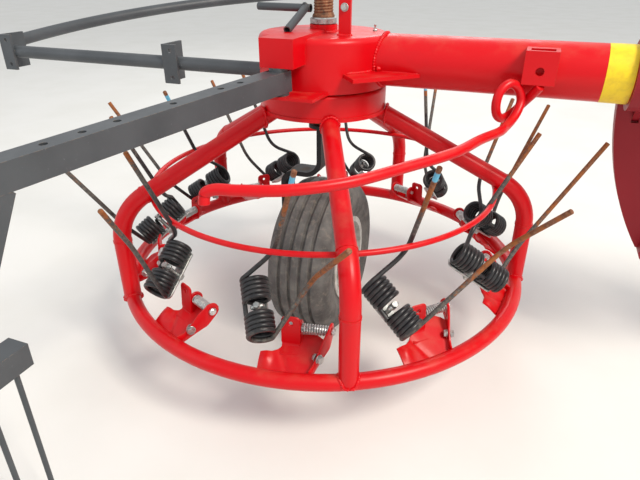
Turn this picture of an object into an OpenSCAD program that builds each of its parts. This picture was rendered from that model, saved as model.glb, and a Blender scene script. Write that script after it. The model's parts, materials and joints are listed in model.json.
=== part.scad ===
// Twin rotor hay rake: two gear-driven tined rotors under one cross beam, carried on two wheels.
// X runs along the cross beam, +Y is the side of the hitch, Z is up.
// The origin is on the ground, under the middle of the cross beam.

/* [Machine] */
// Distance between the two rotor axes
rotor_spacing = 1960; // [1900:10:2300]
// Height of the cross beam's centre line above the ground
beam_z = 716; // [710:1:722]
// Outside diameter of the cross beam
beam_d = 110; // [96:1:112]
// Wall of the cross beam
beam_wall = 6; // [4:0.5:10]
// Distance from the cross beam to the gates' rear ends
reach = 1010; // [1000:5:1060]

/* [Rotor] */
// Radius of the rotor ring's centre line
ring_r = 500; // [490:1:510]
// Height of the rotor ring above the ground
ring_z = 190; // [180:1:200]
// Diameter of the rotor ring's tube
ring_tube = 33.7; // [28:0.1:38]
// Number of spokes on a rotor
spoke_count = 5; // [4:1:6]
// Diameter of a spoke's tube
spoke_tube = 40; // [34:0.5:44]
// Fall of a spoke towards the knee, in degrees
spoke_slope = 27; // [26:0.5:28]
// Bend radius of a spoke's knee
knee_bend = 115; // [95:1:125]
// Height of the knee's corner above the ground
knee_z = 412; // [406:1:418]
// Angle of the first spoke on the left rotor, in degrees
spoke_phase = -63.2; // [-66:0.1:-60]
// Radius of the thin ring under the spokes
hoop_rod_r = 420; // [417:0.5:424]
// Diameter of the thin ring's rod
hoop_rod_d = 12; // [8:0.5:13]
// Diameter of the gear drum and of the rotor disc
drum_d = 293; // [285:1:300]
// Height of the gear drum's flat bottom above the ground
drum_z = 658; // [655:0.5:659]
// Height of the gear drum
drum_h = 112; // [108:1:116]
// Running gap between the drum and the rotor disc
disc_gap = 3; // [2:0.1:4]
// Depth of the rotor disc
disc_h = 56; // [52:0.5:60]

/* [Tines] */
// Diameter of the tine wire
wire_d = 10; // [8:0.1:10.5]
// Centre-line radius of a tine coil
coil_r = 22.5; // [20:0.1:24]
// Turns in each coil of a double tine
coil_turns = 5; // [3:1:5]
// Radius from the rotor axis to the middle of a double coil
coil_rho = 430; // [428:0.5:433]
// Height of the coils above the ground
coil_z = 302; // [299:0.5:306]
// Gap between the two coils of one tine
coil_gap = 13; // [11:0.5:15]
// Length of the inner leg from its bend to its tip
inner_leg = 190; // [150:1:200]
// Length of the outer leg from its bend to its tip
outer_leg = 272; // [220:1:280]

/* [Wheels] */
// Outside diameter of the tyre
tyre_d = 405; // [396:1:410]
// Width of the tyre
tyre_w = 165; // [150:1:170]
// Diameter of the rim at the bead
rim_d = 205; // [200:1:215]
// Diameter of the wheel axle
axle_d = 25; // [20:0.5:27]
// Running gap of the wheel on its axle
axle_gap = 0.1; // [0.06:0.01:0.15]
// Diameter of the height-setting spindle
spindle_d = 44; // [38:0.5:46]

/* [Guards and gates] */
// Diameter of the guard tubes
guard_d = 33.7; // [28:0.1:36]
// Height of the guard's straight tube above the ground
guard_z = 676; // [674:1:680]
// Length of the guard's straight tube from the rotor axis
guard_reach = 985; // [970:1:1000]
// Rise of the guard hoop towards the front, in degrees
guard_rise = 6.6; // [6:0.1:7.2]
// Width of the gate arm's square tube
arm_w = 42; // [40:1:46]
// Wall of the gate arm's square tube
arm_wall = 4; // [3:0.5:6]
// Length of the gate arm from its pivot to its corner
arm_len = 572; // [560:1:590]
// Outward angle of the gate arm, in degrees
arm_out = 15.6; // [13:0.1:18]
// Downward lean of the gate arm towards its corner, in degrees
arm_droop = 3.3; // [3:0.1:4]
// Diameter of the gate's spring rods
gate_rod_d = 9; // [7:0.5:12]
// Number of spring rods on a gate
gate_rods = 5; // [4:1:6]
// Diameter of the crop rod with its coiled eye
crop_rod_d = 20; // [16:0.5:21]

/* [Hitch] */
// Distance between the shoulders of the two lower link pins
hitch_span = 683; // [660:1:700]
// Diameter of the lower link pins
lower_pin_d = 22; // [21:0.1:28]
// Height of the lower link pins above the ground
lower_pin_z = 690; // [680:1:700]
// Distance of the lower link pins in front of the cross beam
lower_pin_y = 230; // [220:1:250]
// Rise of the top link hole above the lower link pins
mast_h = 460; // [440:1:610]
// Diameter of the top link hole
top_hole_d = 19.3; // [19:0.1:26]
// Diameter of the drive shaft stub
shaft_d = 34.9; // [34:0.1:36]
// Length of the parking stand's leg
stand_len = 760; // [740:5:800]

/* [Hidden] */
$fn = 64;
// Gap left where one welded or bolted piece lies against another
seat = 0.3;
half = rotor_spacing / 2;
drum_r = drum_d / 2;
disc_r = drum_r;
drum_top = drum_z + drum_h;
disc_top = drum_z - disc_gap;
disc_bottom = disc_top - disc_h;
ring_in = ring_r - ring_tube / 2;
tine_count = 2 * spoke_count;
tine_step = 360 / tine_count;
// Angles of the tines and of their brackets after each spoke
tine_lag = -22.8;
bracket_lag = 6.5;
wheel_r = tyre_d / 2;
wheel_z = wheel_r;
plate_t = 8;
pivot_x = -24;
pivot_y = -189;
pivot_d = 16;
pivot_gap = 0.05;
bush_d = 40;
arm_lift = 6.5;
socket_gap = 7;
lower_plate_t = 6;
arm_z = drum_z + lower_plate_t + arm_lift + arm_w / 2;
red = [0.86, 0.03, 0.07];
dark_red = [0.45, 0.03, 0.07];
grey = [0.27, 0.29, 0.31];
black = [0.08, 0.08, 0.09];
zinc = [0.62, 0.62, 0.6];
rust = [0.42, 0.22, 0.12];

corner_over = 0.4;

// Places a child drawn about the left rotor's axis, or its mirror image on the right
module at_side(side) {
  if (side < 0)
    translate([-half, 0, 0]) children();
  else
    mirror([1, 0, 0]) translate([-half, 0, 0]) children();
}

// A rod from a to b with flat ends
module rod(a, b, d) {
  v = b - a;
  len = norm(v);
  translate(a)
    rotate([0, acos(v[2] / len), atan2(v[1], v[0])])
      cylinder(d = d, h = len);
}

// A rod through a list of points, with a slightly larger ball at each inner corner
module bent_rod(points, d) {
  for (i = [0 : len(points) - 2])
    rod(points[i], points[i + 1], d);
  for (i = [1 : len(points) - 2])
    translate(points[i]) sphere(d = d + corner_over);
}

// A ring of round section
module round_ring(r, d) {
  rotate_extrude($fn = 128) translate([r, 0]) circle(d = d, $fn = 32);
}

// A tube swept through many close points, as one surface of flat facets
module swept_tube(points, d, sides = 10) {
  n = len(points);
  function heading(i) = let (v = points[min(i + 1, n - 1)] - points[max(i - 1, 0)]) v / norm(v);
  function across(i) = let (c = cross(heading(i), [0.21, 0.13, 0.97])) c / norm(c);
  rings = [for (i = [0 : n - 1]) for (k = [0 : sides - 1])
    let (t = heading(i), u = across(i), w = cross(t, u), a = 360 * k / sides)
      points[i] + d / 2 * (cos(a) * u + sin(a) * w)];
  caps = [[for (k = [0 : sides - 1]) k], [for (k = [sides - 1 : -1 : 0]) (n - 1) * sides + k]];
  walls = [for (i = [0 : n - 2]) for (k = [0 : sides - 1])
    [i * sides + k, (i + 1) * sides + k, (i + 1) * sides + (k + 1) % sides, i * sides + (k + 1) % sides]];
  polyhedron(rings, concat([caps[0]], [caps[1]], walls));
}

// Cross beam: one tube from each drum to the centre gearbox, with bolted end flanges
gearbox_w = 190;
gearbox_d = 200;
gearbox_h = 190;
flange_d = 170;
flange_t = 14;
lug_x = 468;
lug_w = 60;
lug_h = 62;
lug_t = 8;
lug_y = -80;
lug_hole = 16;

module beam_tube() {
  difference() {
    union() {
      translate([0, 0, beam_z]) rotate([0, 90, 0]) cylinder(d = beam_d, h = half - gearbox_w / 2 - seat);
      translate([half - gearbox_w / 2 - seat - flange_t, 0, beam_z])
        rotate([0, 90, 0]) cylinder(d = flange_d, h = flange_t);
      beam_lug();
    }
    translate([-1, 0, beam_z]) rotate([0, 90, 0]) cylinder(d = beam_d - 2 * beam_wall, h = half);
    translate([0, 0, drum_z - 20]) cylinder(r = drum_r + seat, h = drum_h + 40);
  }
}

// Lug on the beam's rear that holds the crop rod
module beam_lug() {
  lug_z = beam_z + 15;
  difference() {
    translate([lug_x - lug_w / 2, lug_y - lug_t, lug_z - lug_h / 2]) cube([lug_w, -lug_y, lug_h]);
    translate([lug_x - lug_w / 2 + lug_t, lug_y, lug_z - lug_h / 2 - 1])
      cube([lug_w - 2 * lug_t, -lug_y - beam_d / 2 + 4, lug_h + 2]);
    translate([lug_x, lug_y + 1, lug_z - 6]) rotate([90, 0, 0]) cylinder(d = lug_hole, h = lug_t + 2);
  }
}

module main_beam() {
  color(red) for (side = [-1, 1]) at_side(side) beam_tube();
}

// Gear drum: closed housing with a rounded top edge, arm socket, gusset, flat bar and the rotor's journal
edge_r = 14;
collar_d = 62;
collar_h = 15;
socket_x = -58;
socket_w = 74;
socket_front = 17;
socket_z = arm_z + arm_w / 2 + socket_gap;
socket_h = drum_z + drum_h + 6 - socket_z;
bar_w = 26;
bar_t = 8;
bar_h = 110;
bar_x = 72;
bar_y = -66;
bar_hole = 13;
journal_r = 29.7;
journal_gap = 0.3;

module drum_shell() {
  rotate_extrude($fn = 128) {
    translate([0, drum_z]) square([drum_r, drum_h - edge_r]);
    translate([0, drum_z]) square([drum_r - edge_r, drum_h]);
    translate([drum_r - edge_r, drum_top - edge_r]) circle(r = edge_r, $fn = 48);
  }
}

module arm_plate_outline() {
  polygon([
    [pivot_x - 72, -90], [pivot_x - 60, pivot_y + 3], [pivot_x - 32, pivot_y - 23],
    [pivot_x + 82, pivot_y - 21], [pivot_x + 88, -110]
  ]);
}

gusset_end = 236;
gusset_z = beam_z - 24;

module gusset() {
  difference() {
    translate([0, 0, gusset_z]) linear_extrude(plate_t)
      polygon([[86, -112], [126, -163], [gusset_end, -52], [gusset_end, -20], [120, -20]]);
    translate([0, 0, beam_z]) rotate([0, 90, 0]) cylinder(d = beam_d + 2 * seat, h = half);
  }
}

module gear_drum(side) {
  color(red) at_side(side) {
    difference() {
      union() {
        drum_shell();
        translate([0, 0, drum_top - 1]) cylinder(d = collar_d, h = collar_h + 1);
        translate([socket_x, pivot_y - socket_front, socket_z]) cube([socket_w, -pivot_y, socket_h]);
        translate([0, 0, drum_z]) linear_extrude(lower_plate_t) arm_plate_outline();
        gusset();
        translate([bar_x - bar_w / 2, bar_y, drum_top - 1]) cube([bar_w, bar_t, bar_h]);
        translate([0, 0, disc_bottom]) cylinder(r = journal_r, h = drum_z - disc_bottom + 1);
      }
      translate([0, 0, disc_bottom - 1])
        cylinder(d = spindle_d + 2 * seat, h = drum_top + collar_h - disc_bottom + 2);
      translate([bar_x, bar_y - 1, drum_top + bar_h / 2]) rotate([-90, 0, 0])
        cylinder(d = bar_hole, h = bar_t + 2);
    }
    pivot_bolt();
  }
}

// Bolt on which the gate arm swings, fixed in the drum's plate and socket
module pivot_bolt() {
  translate([pivot_x, pivot_y, drum_z - 3]) cylinder(d = 26, h = 4, $fn = 6);
  translate([pivot_x, pivot_y, drum_z]) cylinder(d = pivot_d, h = socket_z - drum_z + 1);
}

module gear_drum_left() { gear_drum(-1); }
module gear_drum_right() { gear_drum(1); }

// Centre gearbox: ribbed casting between the beam flanges, with a stub housing to the front
box_rib_t = 12;
nose_d = 120;
nose_len = 40;
shaft_neck = 30;
shaft_neck_len = 50;

module centre_gearbox() {
  color(dark_red) difference() {
    union() {
      translate([-gearbox_w / 2, -gearbox_d / 2, beam_z - gearbox_h / 2])
        cube([gearbox_w, gearbox_d, gearbox_h]);
      for (x = [-1, 0, 1])
        translate([x * gearbox_w / 3 - box_rib_t / 2, -gearbox_d / 2 - 10, beam_z - gearbox_h / 2 + 20])
          cube([box_rib_t, gearbox_d + 20, gearbox_h - 40]);
      translate([0, gearbox_d / 2 - 1, beam_z]) rotate([-90, 0, 0]) cylinder(d = nose_d, h = nose_len + 1);
    }
    translate([0, gearbox_d / 2 + nose_len - shaft_neck_len - 1, beam_z]) rotate([-90, 0, 0])
      cylinder(d = shaft_neck + 2 * axle_gap, h = shaft_neck_len + 2);
  }
}

// Drive shaft: a neck that turns in the gearbox nose and the stub for the drive line
shaft_out = 95;

module drive_shaft() {
  color(zinc) translate([0, gearbox_d / 2 + nose_len, beam_z]) rotate([-90, 0, 0]) {
    translate([0, 0, -shaft_neck_len]) cylinder(d = shaft_neck, h = shaft_neck_len + 1);
    translate([0, 0, seat]) cylinder(d = shaft_d, h = shaft_out);
  }
}

// Guard around the drive shaft: an open cup of moulded plastic
cup_d = 190;
cup_wall = 4;
cup_len = 150;

module shaft_guard() {
  y0 = gearbox_d / 2 + 10 + seat;
  color(black) translate([0, y0, beam_z]) rotate([-90, 0, 0]) difference() {
    cylinder(d = cup_d, h = cup_len);
    translate([0, 0, cup_wall]) cylinder(d = cup_d - 2 * cup_wall, h = cup_len);
    translate([0, 0, -1]) cylinder(d = nose_d + 2 * seat, h = cup_len);
  }
}

// Headstock: a mast of two plates over the gearbox, and one lug on the beam for each lower link
mast_x = 44;
mast_t = 12;
mast_z = lower_pin_z + mast_h;
mast_y = 150;
mast_r = 34;
lug_plate_t = 14;
lug_plate_x = hitch_span / 2 - 24 - lug_plate_t;
lug_plate_r = 38;
lug_reach = 74;
tie_w = 45;
tie_wall = 5;
tie_y = 164;
tie_z = 568;
clamp_w = 70;
clamp_t = 12;
stand_x = 228;
stand_y = 236;
stand_w = 40;
sleeve_wall = 5;
sleeve_h = 150;
sleeve_z = 600;
stand_gap = 0.5;

module mast_plate(x) {
  translate([x - mast_t / 2, 0, 0]) rotate([90, 0, 90]) linear_extrude(mast_t) difference() {
    union() {
      polygon([
        [-gearbox_d / 2 + 20, gearbox_top], [gearbox_d / 2 - 10, gearbox_top],
        [mast_y + mast_r * cos(10), mast_z - mast_r * sin(10)],
        [mast_y - mast_r * cos(40), mast_z + mast_r * sin(40)]
      ]);
      translate([mast_y, mast_z]) circle(r = mast_r);
    }
    translate([mast_y, mast_z]) circle(d = top_hole_d);
  }
}

gearbox_top = beam_z + gearbox_h / 2 + seat;

lug_back = 40;
lug_tail = tie_y - tie_w / 2 - 12;
lug_tail_z = tie_z - 6;

// Height of a lug's lower edge at a distance y in front of the beam
function lug_low(y) = beam_z - lug_reach
  - (beam_z - lug_reach - lug_tail_z) * (y - lug_back) / (lug_tail - lug_back);

module link_lug() {
  translate([lug_plate_x, 0, 0]) rotate([90, 0, 90]) linear_extrude(lug_plate_t) difference() {
    union() {
      polygon([
        [20, beam_z + lug_reach], [70, beam_z + lug_reach],
        [lower_pin_y + 10, lower_pin_z + lug_plate_r - 1], [lower_pin_y + 10, lower_pin_z - lug_plate_r + 1],
        [tie_y + tie_w / 2 + 6, lug_tail_z], [lug_tail, lug_tail_z],
        [lug_back, beam_z - lug_reach], [20, beam_z - lug_reach]
      ]);
      translate([lower_pin_y, lower_pin_z]) circle(r = lug_plate_r);
    }
    translate([0, beam_z]) circle(d = beam_d + 2 * seat);
    translate([lower_pin_y, lower_pin_z]) circle(d = lower_pin_d + 2 * seat);
  }
}

// Collar around the beam that carries a lug
module beam_collar() {
  translate([lug_plate_x - clamp_w / 2 + lug_plate_t / 2, 0, beam_z]) rotate([0, 90, 0])
    difference() {
      cylinder(d = beam_d + 2 * clamp_t, h = clamp_w);
      translate([0, 0, -1]) cylinder(d = beam_d + 2 * seat, h = clamp_w + 2);
    }
}

// Square tube that ties the two lugs together under the gearbox
module tie_tube() {
  len = 2 * (lug_plate_x + lug_plate_t / 2);
  translate([-len / 2, tie_y - tie_w / 2, tie_z]) difference() {
    cube([len, tie_w, tie_w]);
    translate([-1, tie_wall, tie_wall]) cube([len + 2, tie_w - 2 * tie_wall, tie_w - 2 * tie_wall]);
  }
}

// Sleeve of the parking stand, welded to the right lug
module stand_sleeve() {
  outer = stand_w + 2 * (sleeve_wall + stand_gap);
  inner = stand_w + 2 * stand_gap;
  web_h = lower_pin_z - pin_nut_w / 2 - 5 - sleeve_z - 10;
  difference() {
    translate([stand_x - outer / 2, stand_y - outer / 2, sleeve_z]) cube([outer, outer, sleeve_h]);
    translate([stand_x - inner / 2, stand_y - inner / 2, sleeve_z - 1]) cube([inner, inner, sleeve_h + 2]);
  }
  translate([stand_x + outer / 2 - 1, stand_y - 20, sleeve_z + 10])
    cube([lug_plate_x - stand_x - outer / 2 + 2, 40, web_h]);
}

module headstock() {
  color(dark_red) {
    for (x = [-mast_x, mast_x]) mast_plate(x);
    translate([-mast_x - mast_t / 2 - 30, -gearbox_d / 2 + 20, gearbox_top])
      cube([2 * mast_x + mast_t + 60, gearbox_d - 30, 14]);
  }
}

// Link lugs: a plate and a collar for each lower link, tied under the gearbox, with the stand's sleeve
module link_lugs() {
  color(dark_red) {
    for (m = [0, 1]) mirror([m, 0, 0]) difference() {
      union() { link_lug(); beam_collar(); }
      translate([0, 0, beam_z]) rotate([0, 90, 0]) cylinder(d = beam_d + 2 * seat, h = half);
    }
    tie_tube();
    stand_sleeve();
  }
}

// Sloping braces from the mast plates to the lugs, cut to fit against both
brace_d = 30;
brace_y = 45;

module brace_bar() {
  difference() {
    rod([mast_x, mast_y - 65, mast_z - 130], [lug_plate_x + 4, brace_y, beam_z + 60], brace_d);
    translate([0, 0, mast_z - 130 - mast_x]) cube([mast_x + mast_t / 2 + seat, mast_y, 2 * mast_x]);
    translate([lug_plate_x - seat, 0, beam_z]) cube([2 * brace_d, 2 * brace_y, 2 * lug_reach]);
    translate([0, 0, beam_z]) rotate([0, 90, 0]) cylinder(d = beam_d + 2 * clamp_t + 2 * seat, h = half);
  }
}

module brace_bars() {
  color(dark_red) for (m = [0, 1]) mirror([m, 0, 0]) brace_bar();
}

// Lower link pins, with a shoulder each
pin_len = 90;
shoulder_d = 44;
pin_nut_w = 36;
pin_nut_t = 16;

module lower_link_pins() {
  color(zinc) for (m = [0, 1]) mirror([m, 0, 0]) lower_link_pin();
}

module lower_link_pin() {
  inner = lug_plate_x - pin_nut_t - 6;
  collar = lug_plate_x + lug_plate_t + seat;
  translate([0, lower_pin_y, lower_pin_z]) rotate([0, 90, 0]) {
    translate([0, 0, inner]) cylinder(d = lower_pin_d, h = hitch_span / 2 - inner + pin_len);
    translate([0, 0, collar]) cylinder(d = shoulder_d, h = hitch_span / 2 - collar);
    translate([0, 0, lug_plate_x - pin_nut_t - seat]) cylinder(d = pin_nut_w, h = pin_nut_t, $fn = 6);
  }
}

// Curved cheek plates under the beam, with a rolled outer edge and a boss at the foot
cheek_r = 650;
cheek_w = 140;
cheek_t = 10;
cheek_y = 66;
cheek_rim = 36;
cheek_out = 352;
cheek_foot = 330;
cheek_top = beam_z + 40;
boss_d = 46;
boss_bore = 36;
boss_len = 60;

module cheek_band(w) {
  intersection() {
    difference() {
      translate([cheek_out - cheek_r, lower_pin_z]) circle(r = cheek_r, $fn = 256);
      translate([cheek_out - cheek_r, lower_pin_z]) circle(r = cheek_r - w, $fn = 256);
    }
    translate([0, cheek_foot]) square([cheek_out + 1, cheek_top - cheek_foot]);
  }
}

module cheek_plates() {
  foot_x = cheek_out - cheek_r + sqrt(pow(cheek_r - boss_d / 2, 2) - pow(lower_pin_z - cheek_foot, 2));
  color(dark_red) for (m = [0, 1]) mirror([m, 0, 0]) difference() {
    union() {
      translate([0, cheek_y + cheek_t, 0]) rotate([90, 0, 0]) linear_extrude(cheek_t) cheek_band(cheek_w);
      translate([0, cheek_y + cheek_rim, 0]) rotate([90, 0, 0])
        linear_extrude(cheek_rim) cheek_band(cheek_t);
      translate([foot_x, cheek_y - boss_len / 2, cheek_foot]) rotate([-90, 0, 0])
        cylinder(d = boss_d, h = boss_len);
    }
    translate([foot_x, cheek_y - boss_len / 2 - 1, cheek_foot]) rotate([-90, 0, 0])
      cylinder(d = boss_bore, h = boss_len + 2);
    translate([lug_plate_x - clamp_w / 2 + lug_plate_t / 2 - seat, 0, beam_z]) rotate([0, 90, 0])
      cylinder(d = beam_d + 2 * clamp_t + 2 * seat, h = clamp_w + 2 * seat);
    translate([lug_plate_x - seat, 0, lug_low(cheek_y + cheek_t) - seat])
      cube([lug_plate_t + 2 * seat, lower_pin_y, 2 * lug_reach]);
  }
}

// Parking stand: a square leg with a foot, held in its sleeve
module stand_leg() {
  foot_w = 120;
  foot_t = 8;
  color(grey) {
    translate([stand_x - stand_w / 2, stand_y - stand_w / 2, 0]) cube([stand_w, stand_w, stand_len]);
    translate([stand_x - foot_w / 2, stand_y - foot_w / 2, 0]) cube([foot_w, foot_w, foot_t]);
  }
}

// Guard: a straight tube beside the drum, two angle brackets, and a rising hoop round the rotor's front
hoop_over = 14.8;
hoop_r = guard_reach + hoop_over;
hoop_z = guard_z + 16;
hoop_from = 88;
hoop_to = 178.5;
angle_w = 42;
angle_t = 7;
angle_h = 96;
angle_depth = 80;
angle_hole = 11;
angle_at = [-430, -guard_reach];

module guard_hoop(side) {
  color(grey) at_side(side) {
    difference() {
      union() {
        rod([0, 0, guard_z], [-guard_reach, 0, guard_z], guard_d);
        for (x = angle_at) angle_bracket(x);
        translate([0, 0, hoop_z]) rotate([guard_rise, 0, 0]) rotate([0, 0, hoop_from])
          rotate_extrude(angle = hoop_to - hoop_from, $fn = 256)
            translate([hoop_r, 0]) circle(d = guard_d, $fn = 32);
      }
      translate([0, 0, drum_z - 50]) cylinder(r = drum_r + seat, h = drum_h + 100);
    }
  }
}

// Upright angle section with two holes, welded to the rear of the straight tube
module angle_bracket(x) {
  y0 = -guard_d / 2 - angle_t + 1;
  difference() {
    union() {
      translate([x, y0, guard_z - angle_h / 2]) cube([angle_w, angle_t, angle_h]);
      translate([x, y0, guard_z - angle_h / 2]) cube([angle_t, angle_depth, angle_h]);
    }
    for (k = [-1, 1])
      translate([x + angle_w / 2 + 3, y0 - 1, guard_z + k * angle_h * 0.34]) rotate([-90, 0, 0])
        cylinder(d = angle_hole, h = angle_t + 2);
  }
}

module guard_hoop_left() { guard_hoop(-1); }
module guard_hoop_right() { guard_hoop(1); }

// Crop rod: hangs from the beam's lug, makes one open turn and sweeps over the rotor's rear
eye_r = 37;
eye_at = [415, -96, 668];
eye_drift = 28;
crop_route = concat(
  [for (drop = [seat, 5, 10]) [lug_x, lug_y - 4, beam_z + 15 - lug_h / 2 - drop]],
  [[464, lug_y - 4, 682], [446, -83, 662]],
  [for (a = [250 : -30 : -50])
    eye_at + [eye_r * cos(a), 10 - eye_drift * (250 - a) / 300, eye_r * sin(a)]],
  [
    [436, -150, 633], [429, -205, 636], [400, -292, 638], [362, -356, 636], [300, -438, 631],
    [240, -515, 627], [168, -565, 623], [100, -588, 621], [66, -594, 619], [50, -597, 609],
    [47, -599, 592], [47, -600, 572]
  ]
);

// Points of a smooth curve through a list of points, n to each stretch
function smooth(p, n) = concat(
  [for (i = [0 : len(p) - 2]) for (k = [0 : n - 1])
    let (a = p[max(i - 1, 0)], b = p[i], c = p[i + 1], d = p[min(i + 2, len(p) - 1)], t = k / n)
      0.5 * (2 * b + (c - a) * t + (2 * a - 5 * b + 4 * c - d) * t * t
        + (3 * b - a - 3 * c + d) * t * t * t)],
  [p[len(p) - 1]]
);

module crop_rod(side) {
  color(red) at_side(side) swept_tube(smooth(crop_route, 3), crop_rod_d, 12);
}

module crop_rod_left() { crop_rod(-1); }
module crop_rod_right() { crop_rod(1); }

// Height spindle: a threaded post through the drum, with its nut ring on the collar
post_foot = 560;
post_top = 905;
nut_d = 60;
nut_h = 14;

module spindle(side) {
  color(rust) at_side(side) {
    translate([0, 0, post_foot]) cylinder(d = spindle_d, h = post_top - post_foot);
    translate([0, 0, drum_top + collar_h + seat]) cylinder(d = nut_d, h = nut_h);
  }
}

module spindle_left() { spindle(-1); }
module spindle_right() { spindle(1); }

// Crank on the spindle: one bar along the beam and one down over the drum's edge
crank_d = 17;
crank_z = drum_top + 56;

module crank(side) {
  y0 = -spindle_d / 2 - crank_d / 2 - 2 * seat;
  color(grey) at_side(side) {
    rod([-129, y0 - 19, crank_z], [9, y0 + 1.3, crank_z], crank_d);
    rod([-4, y0 - 6, crank_z], [-38, y0 - 84, crank_z - 41.5], crank_d);
  }
}

module crank_left() { crank(-1); }
module crank_right() { crank(1); }

// Wheel arm: a bent flat bar from the post's foot over the tyre to the axle
arm_flat = 12;
arm_wide = 60;
arm_side = tyre_w / 2 + 16;
arm_over = 432;
bend_a = 38;
bend_b = 30;
arm_foot = 34;
foot_d = 70;
cap_d = 40;

// Quarter of a flat ring of centre-line radius r, in the quadrant given by the signs
module quarter(r, t, sx, sy) {
  intersection() {
    difference() { circle(r = r + t / 2); circle(r = r - t / 2); }
    translate([sx < 0 ? -r - t : 0, sy < 0 ? -r - t : 0]) square(r + t);
  }
}

module wheel_arm(side) {
  color(black) at_side(side) {
    translate([0, arm_wide / 2, 0]) rotate([90, 0, 0]) linear_extrude(arm_wide) {
      translate([-arm_flat / 2, arm_over + bend_a]) square([arm_flat, post_foot - seat - arm_over - bend_a]);
      translate([-bend_a, arm_over + bend_a]) quarter(bend_a, arm_flat, 1, -1);
      translate([-arm_side + bend_b, arm_over - arm_flat / 2])
        square([arm_side - bend_a - bend_b, arm_flat]);
      translate([-arm_side + bend_b, arm_over - bend_b]) quarter(bend_b, arm_flat, -1, 1);
      translate([-arm_side - arm_flat / 2, wheel_z - arm_foot])
        square([arm_flat, arm_over - bend_b - wheel_z + arm_foot]);
    }
    translate([0, 0, post_foot - seat - plate_t]) cylinder(d = foot_d, h = plate_t);
    translate([-arm_side, 0, wheel_z]) rotate([0, 90, 0]) {
      cylinder(d = axle_d, h = arm_side + tyre_w / 2 + plate_t);
      translate([0, 0, arm_side + tyre_w / 2]) cylinder(d = cap_d, h = plate_t);
    }
  }
}

module wheel_arm_left() { wheel_arm(-1); }
module wheel_arm_right() { wheel_arm(1); }

// Tyre: rounded section with ribs round the tread
bead_r = rim_d / 2;
bead_w = tyre_w - 24;
shoulder_r = 42;
groove_w = 9;
groove_h = 8;
groove_step = 27;

module tyre(side) {
  color(black) at_side(side) translate([0, 0, wheel_z]) rotate([0, 90, 0])
    rotate_extrude($fn = 128) difference() {
      union() {
        translate([bead_r + seat, -tyre_w / 2 + shoulder_r])
          square([wheel_r - bead_r - seat, tyre_w - 2 * shoulder_r]);
        translate([bead_r + seat, -bead_w / 2]) square([wheel_r - shoulder_r - bead_r - seat, bead_w]);
        for (k = [-1, 1])
          translate([wheel_r - shoulder_r, k * (tyre_w / 2 - shoulder_r)]) circle(r = shoulder_r);
      }
      for (k = [-1.5 : 1 : 1.5])
        translate([wheel_r - groove_h, k * groove_step - groove_w / 2]) square([groove_h + 1, groove_w]);
    }
}

module tyre_left() { tyre(-1); }
module tyre_right() { tyre(1); }

// Rim: two flanged dishes on a hub that turns on the axle
rim_wall = 5;
hub_d = 52;
rim_web = 10;
rim_lip = 9;

module rim(side) {
  w = bead_w;
  hub_w = tyre_w - 4;
  color([0.82, 0.83, 0.82]) at_side(side) translate([0, 0, wheel_z]) rotate([0, 90, 0])
    rotate_extrude($fn = 96) difference() {
      union() {
        translate([0, -w / 2]) square([bead_r, w]);
        for (k = [-1, 1]) translate([0, k * (w / 2 + rim_wall / 2) - rim_wall / 2])
          square([bead_r + rim_lip, rim_wall]);
        translate([0, -hub_w / 2]) square([hub_d / 2, hub_w]);
      }
      translate([0, -tyre_w]) square([axle_d / 2 + axle_gap, 2 * tyre_w]);
      for (k = [0, 1]) mirror([0, k])
        translate([hub_d / 2, rim_web / 2]) square([bead_r - rim_wall - hub_d / 2, tyre_w]);
    }
}

module rim_left() { rim(-1); }
module rim_right() { rim(1); }

// Rotor disc: a dish that turns under the drum
disc_wall = 10;
disc_edge = 8;
disc_rim = 3;
disc_hub_r = 60;

module rotor_disc(side) {
  color(red) at_side(side) rotate_extrude($fn = 128) difference() {
    union() {
      translate([0, disc_bottom]) square([disc_r - disc_edge, disc_h]);
      translate([0, disc_bottom]) square([disc_r, disc_h - disc_edge]);
      translate([disc_r - disc_edge, disc_top - disc_edge]) circle(r = disc_edge, $fn = 32);
      translate([0, disc_bottom]) square([disc_r + disc_rim, disc_edge]);
    }
    square([journal_r + journal_gap, 2 * drum_z]);
    translate([disc_hub_r, disc_bottom - 1])
      square([disc_r - disc_wall - disc_hub_r, disc_h - disc_wall + 1]);
  }
}

module rotor_disc_left() { rotor_disc(-1); }
module rotor_disc_right() { rotor_disc(1); }

// Spoke frame: ring, five kneed spokes and the thin ring under them, welded as one
hoop_rod_bite = 2;
hoop_rod_z = knee_z + (ring_r - hoop_rod_r) * tan(spoke_slope) - spoke_tube / 2 / cos(spoke_slope)
  - hoop_rod_d / 2 + hoop_rod_bite;
bead_h = 5;
bead_over = 2.4;
// How far a spoke's end reaches below the ring's middle
spoke_foot = 5;

// Weld bead that joins a bend to the straight tube beside it
module bead() {
  translate([0, 0, -bead_h / 2]) cylinder(d = spoke_tube + bead_over, h = bead_h);
}

module spoke() {
  turn = 90 - spoke_slope;
  set_back = knee_bend * tan(turn / 2);
  start_r = disc_r - 40;
  rod([start_r, 0, knee_z + (ring_r - start_r) * tan(spoke_slope)],
    [ring_r - set_back * cos(spoke_slope), 0, knee_z + set_back * sin(spoke_slope)], spoke_tube);
  translate([ring_r - knee_bend, 0, knee_z - set_back]) rotate([90, 0, 0])
    rotate_extrude(angle = turn, $fn = 128) translate([knee_bend, 0]) circle(d = spoke_tube, $fn = 48);
  translate([ring_r, 0, ring_z - spoke_foot])
    cylinder(d = spoke_tube, h = knee_z - set_back - ring_z + spoke_foot);
  translate([ring_r, 0, knee_z - set_back]) bead();
  translate([ring_r - set_back * cos(spoke_slope), 0, knee_z + set_back * sin(spoke_slope)])
    rotate([0, 90 + spoke_slope, 0]) bead();
}

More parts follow.
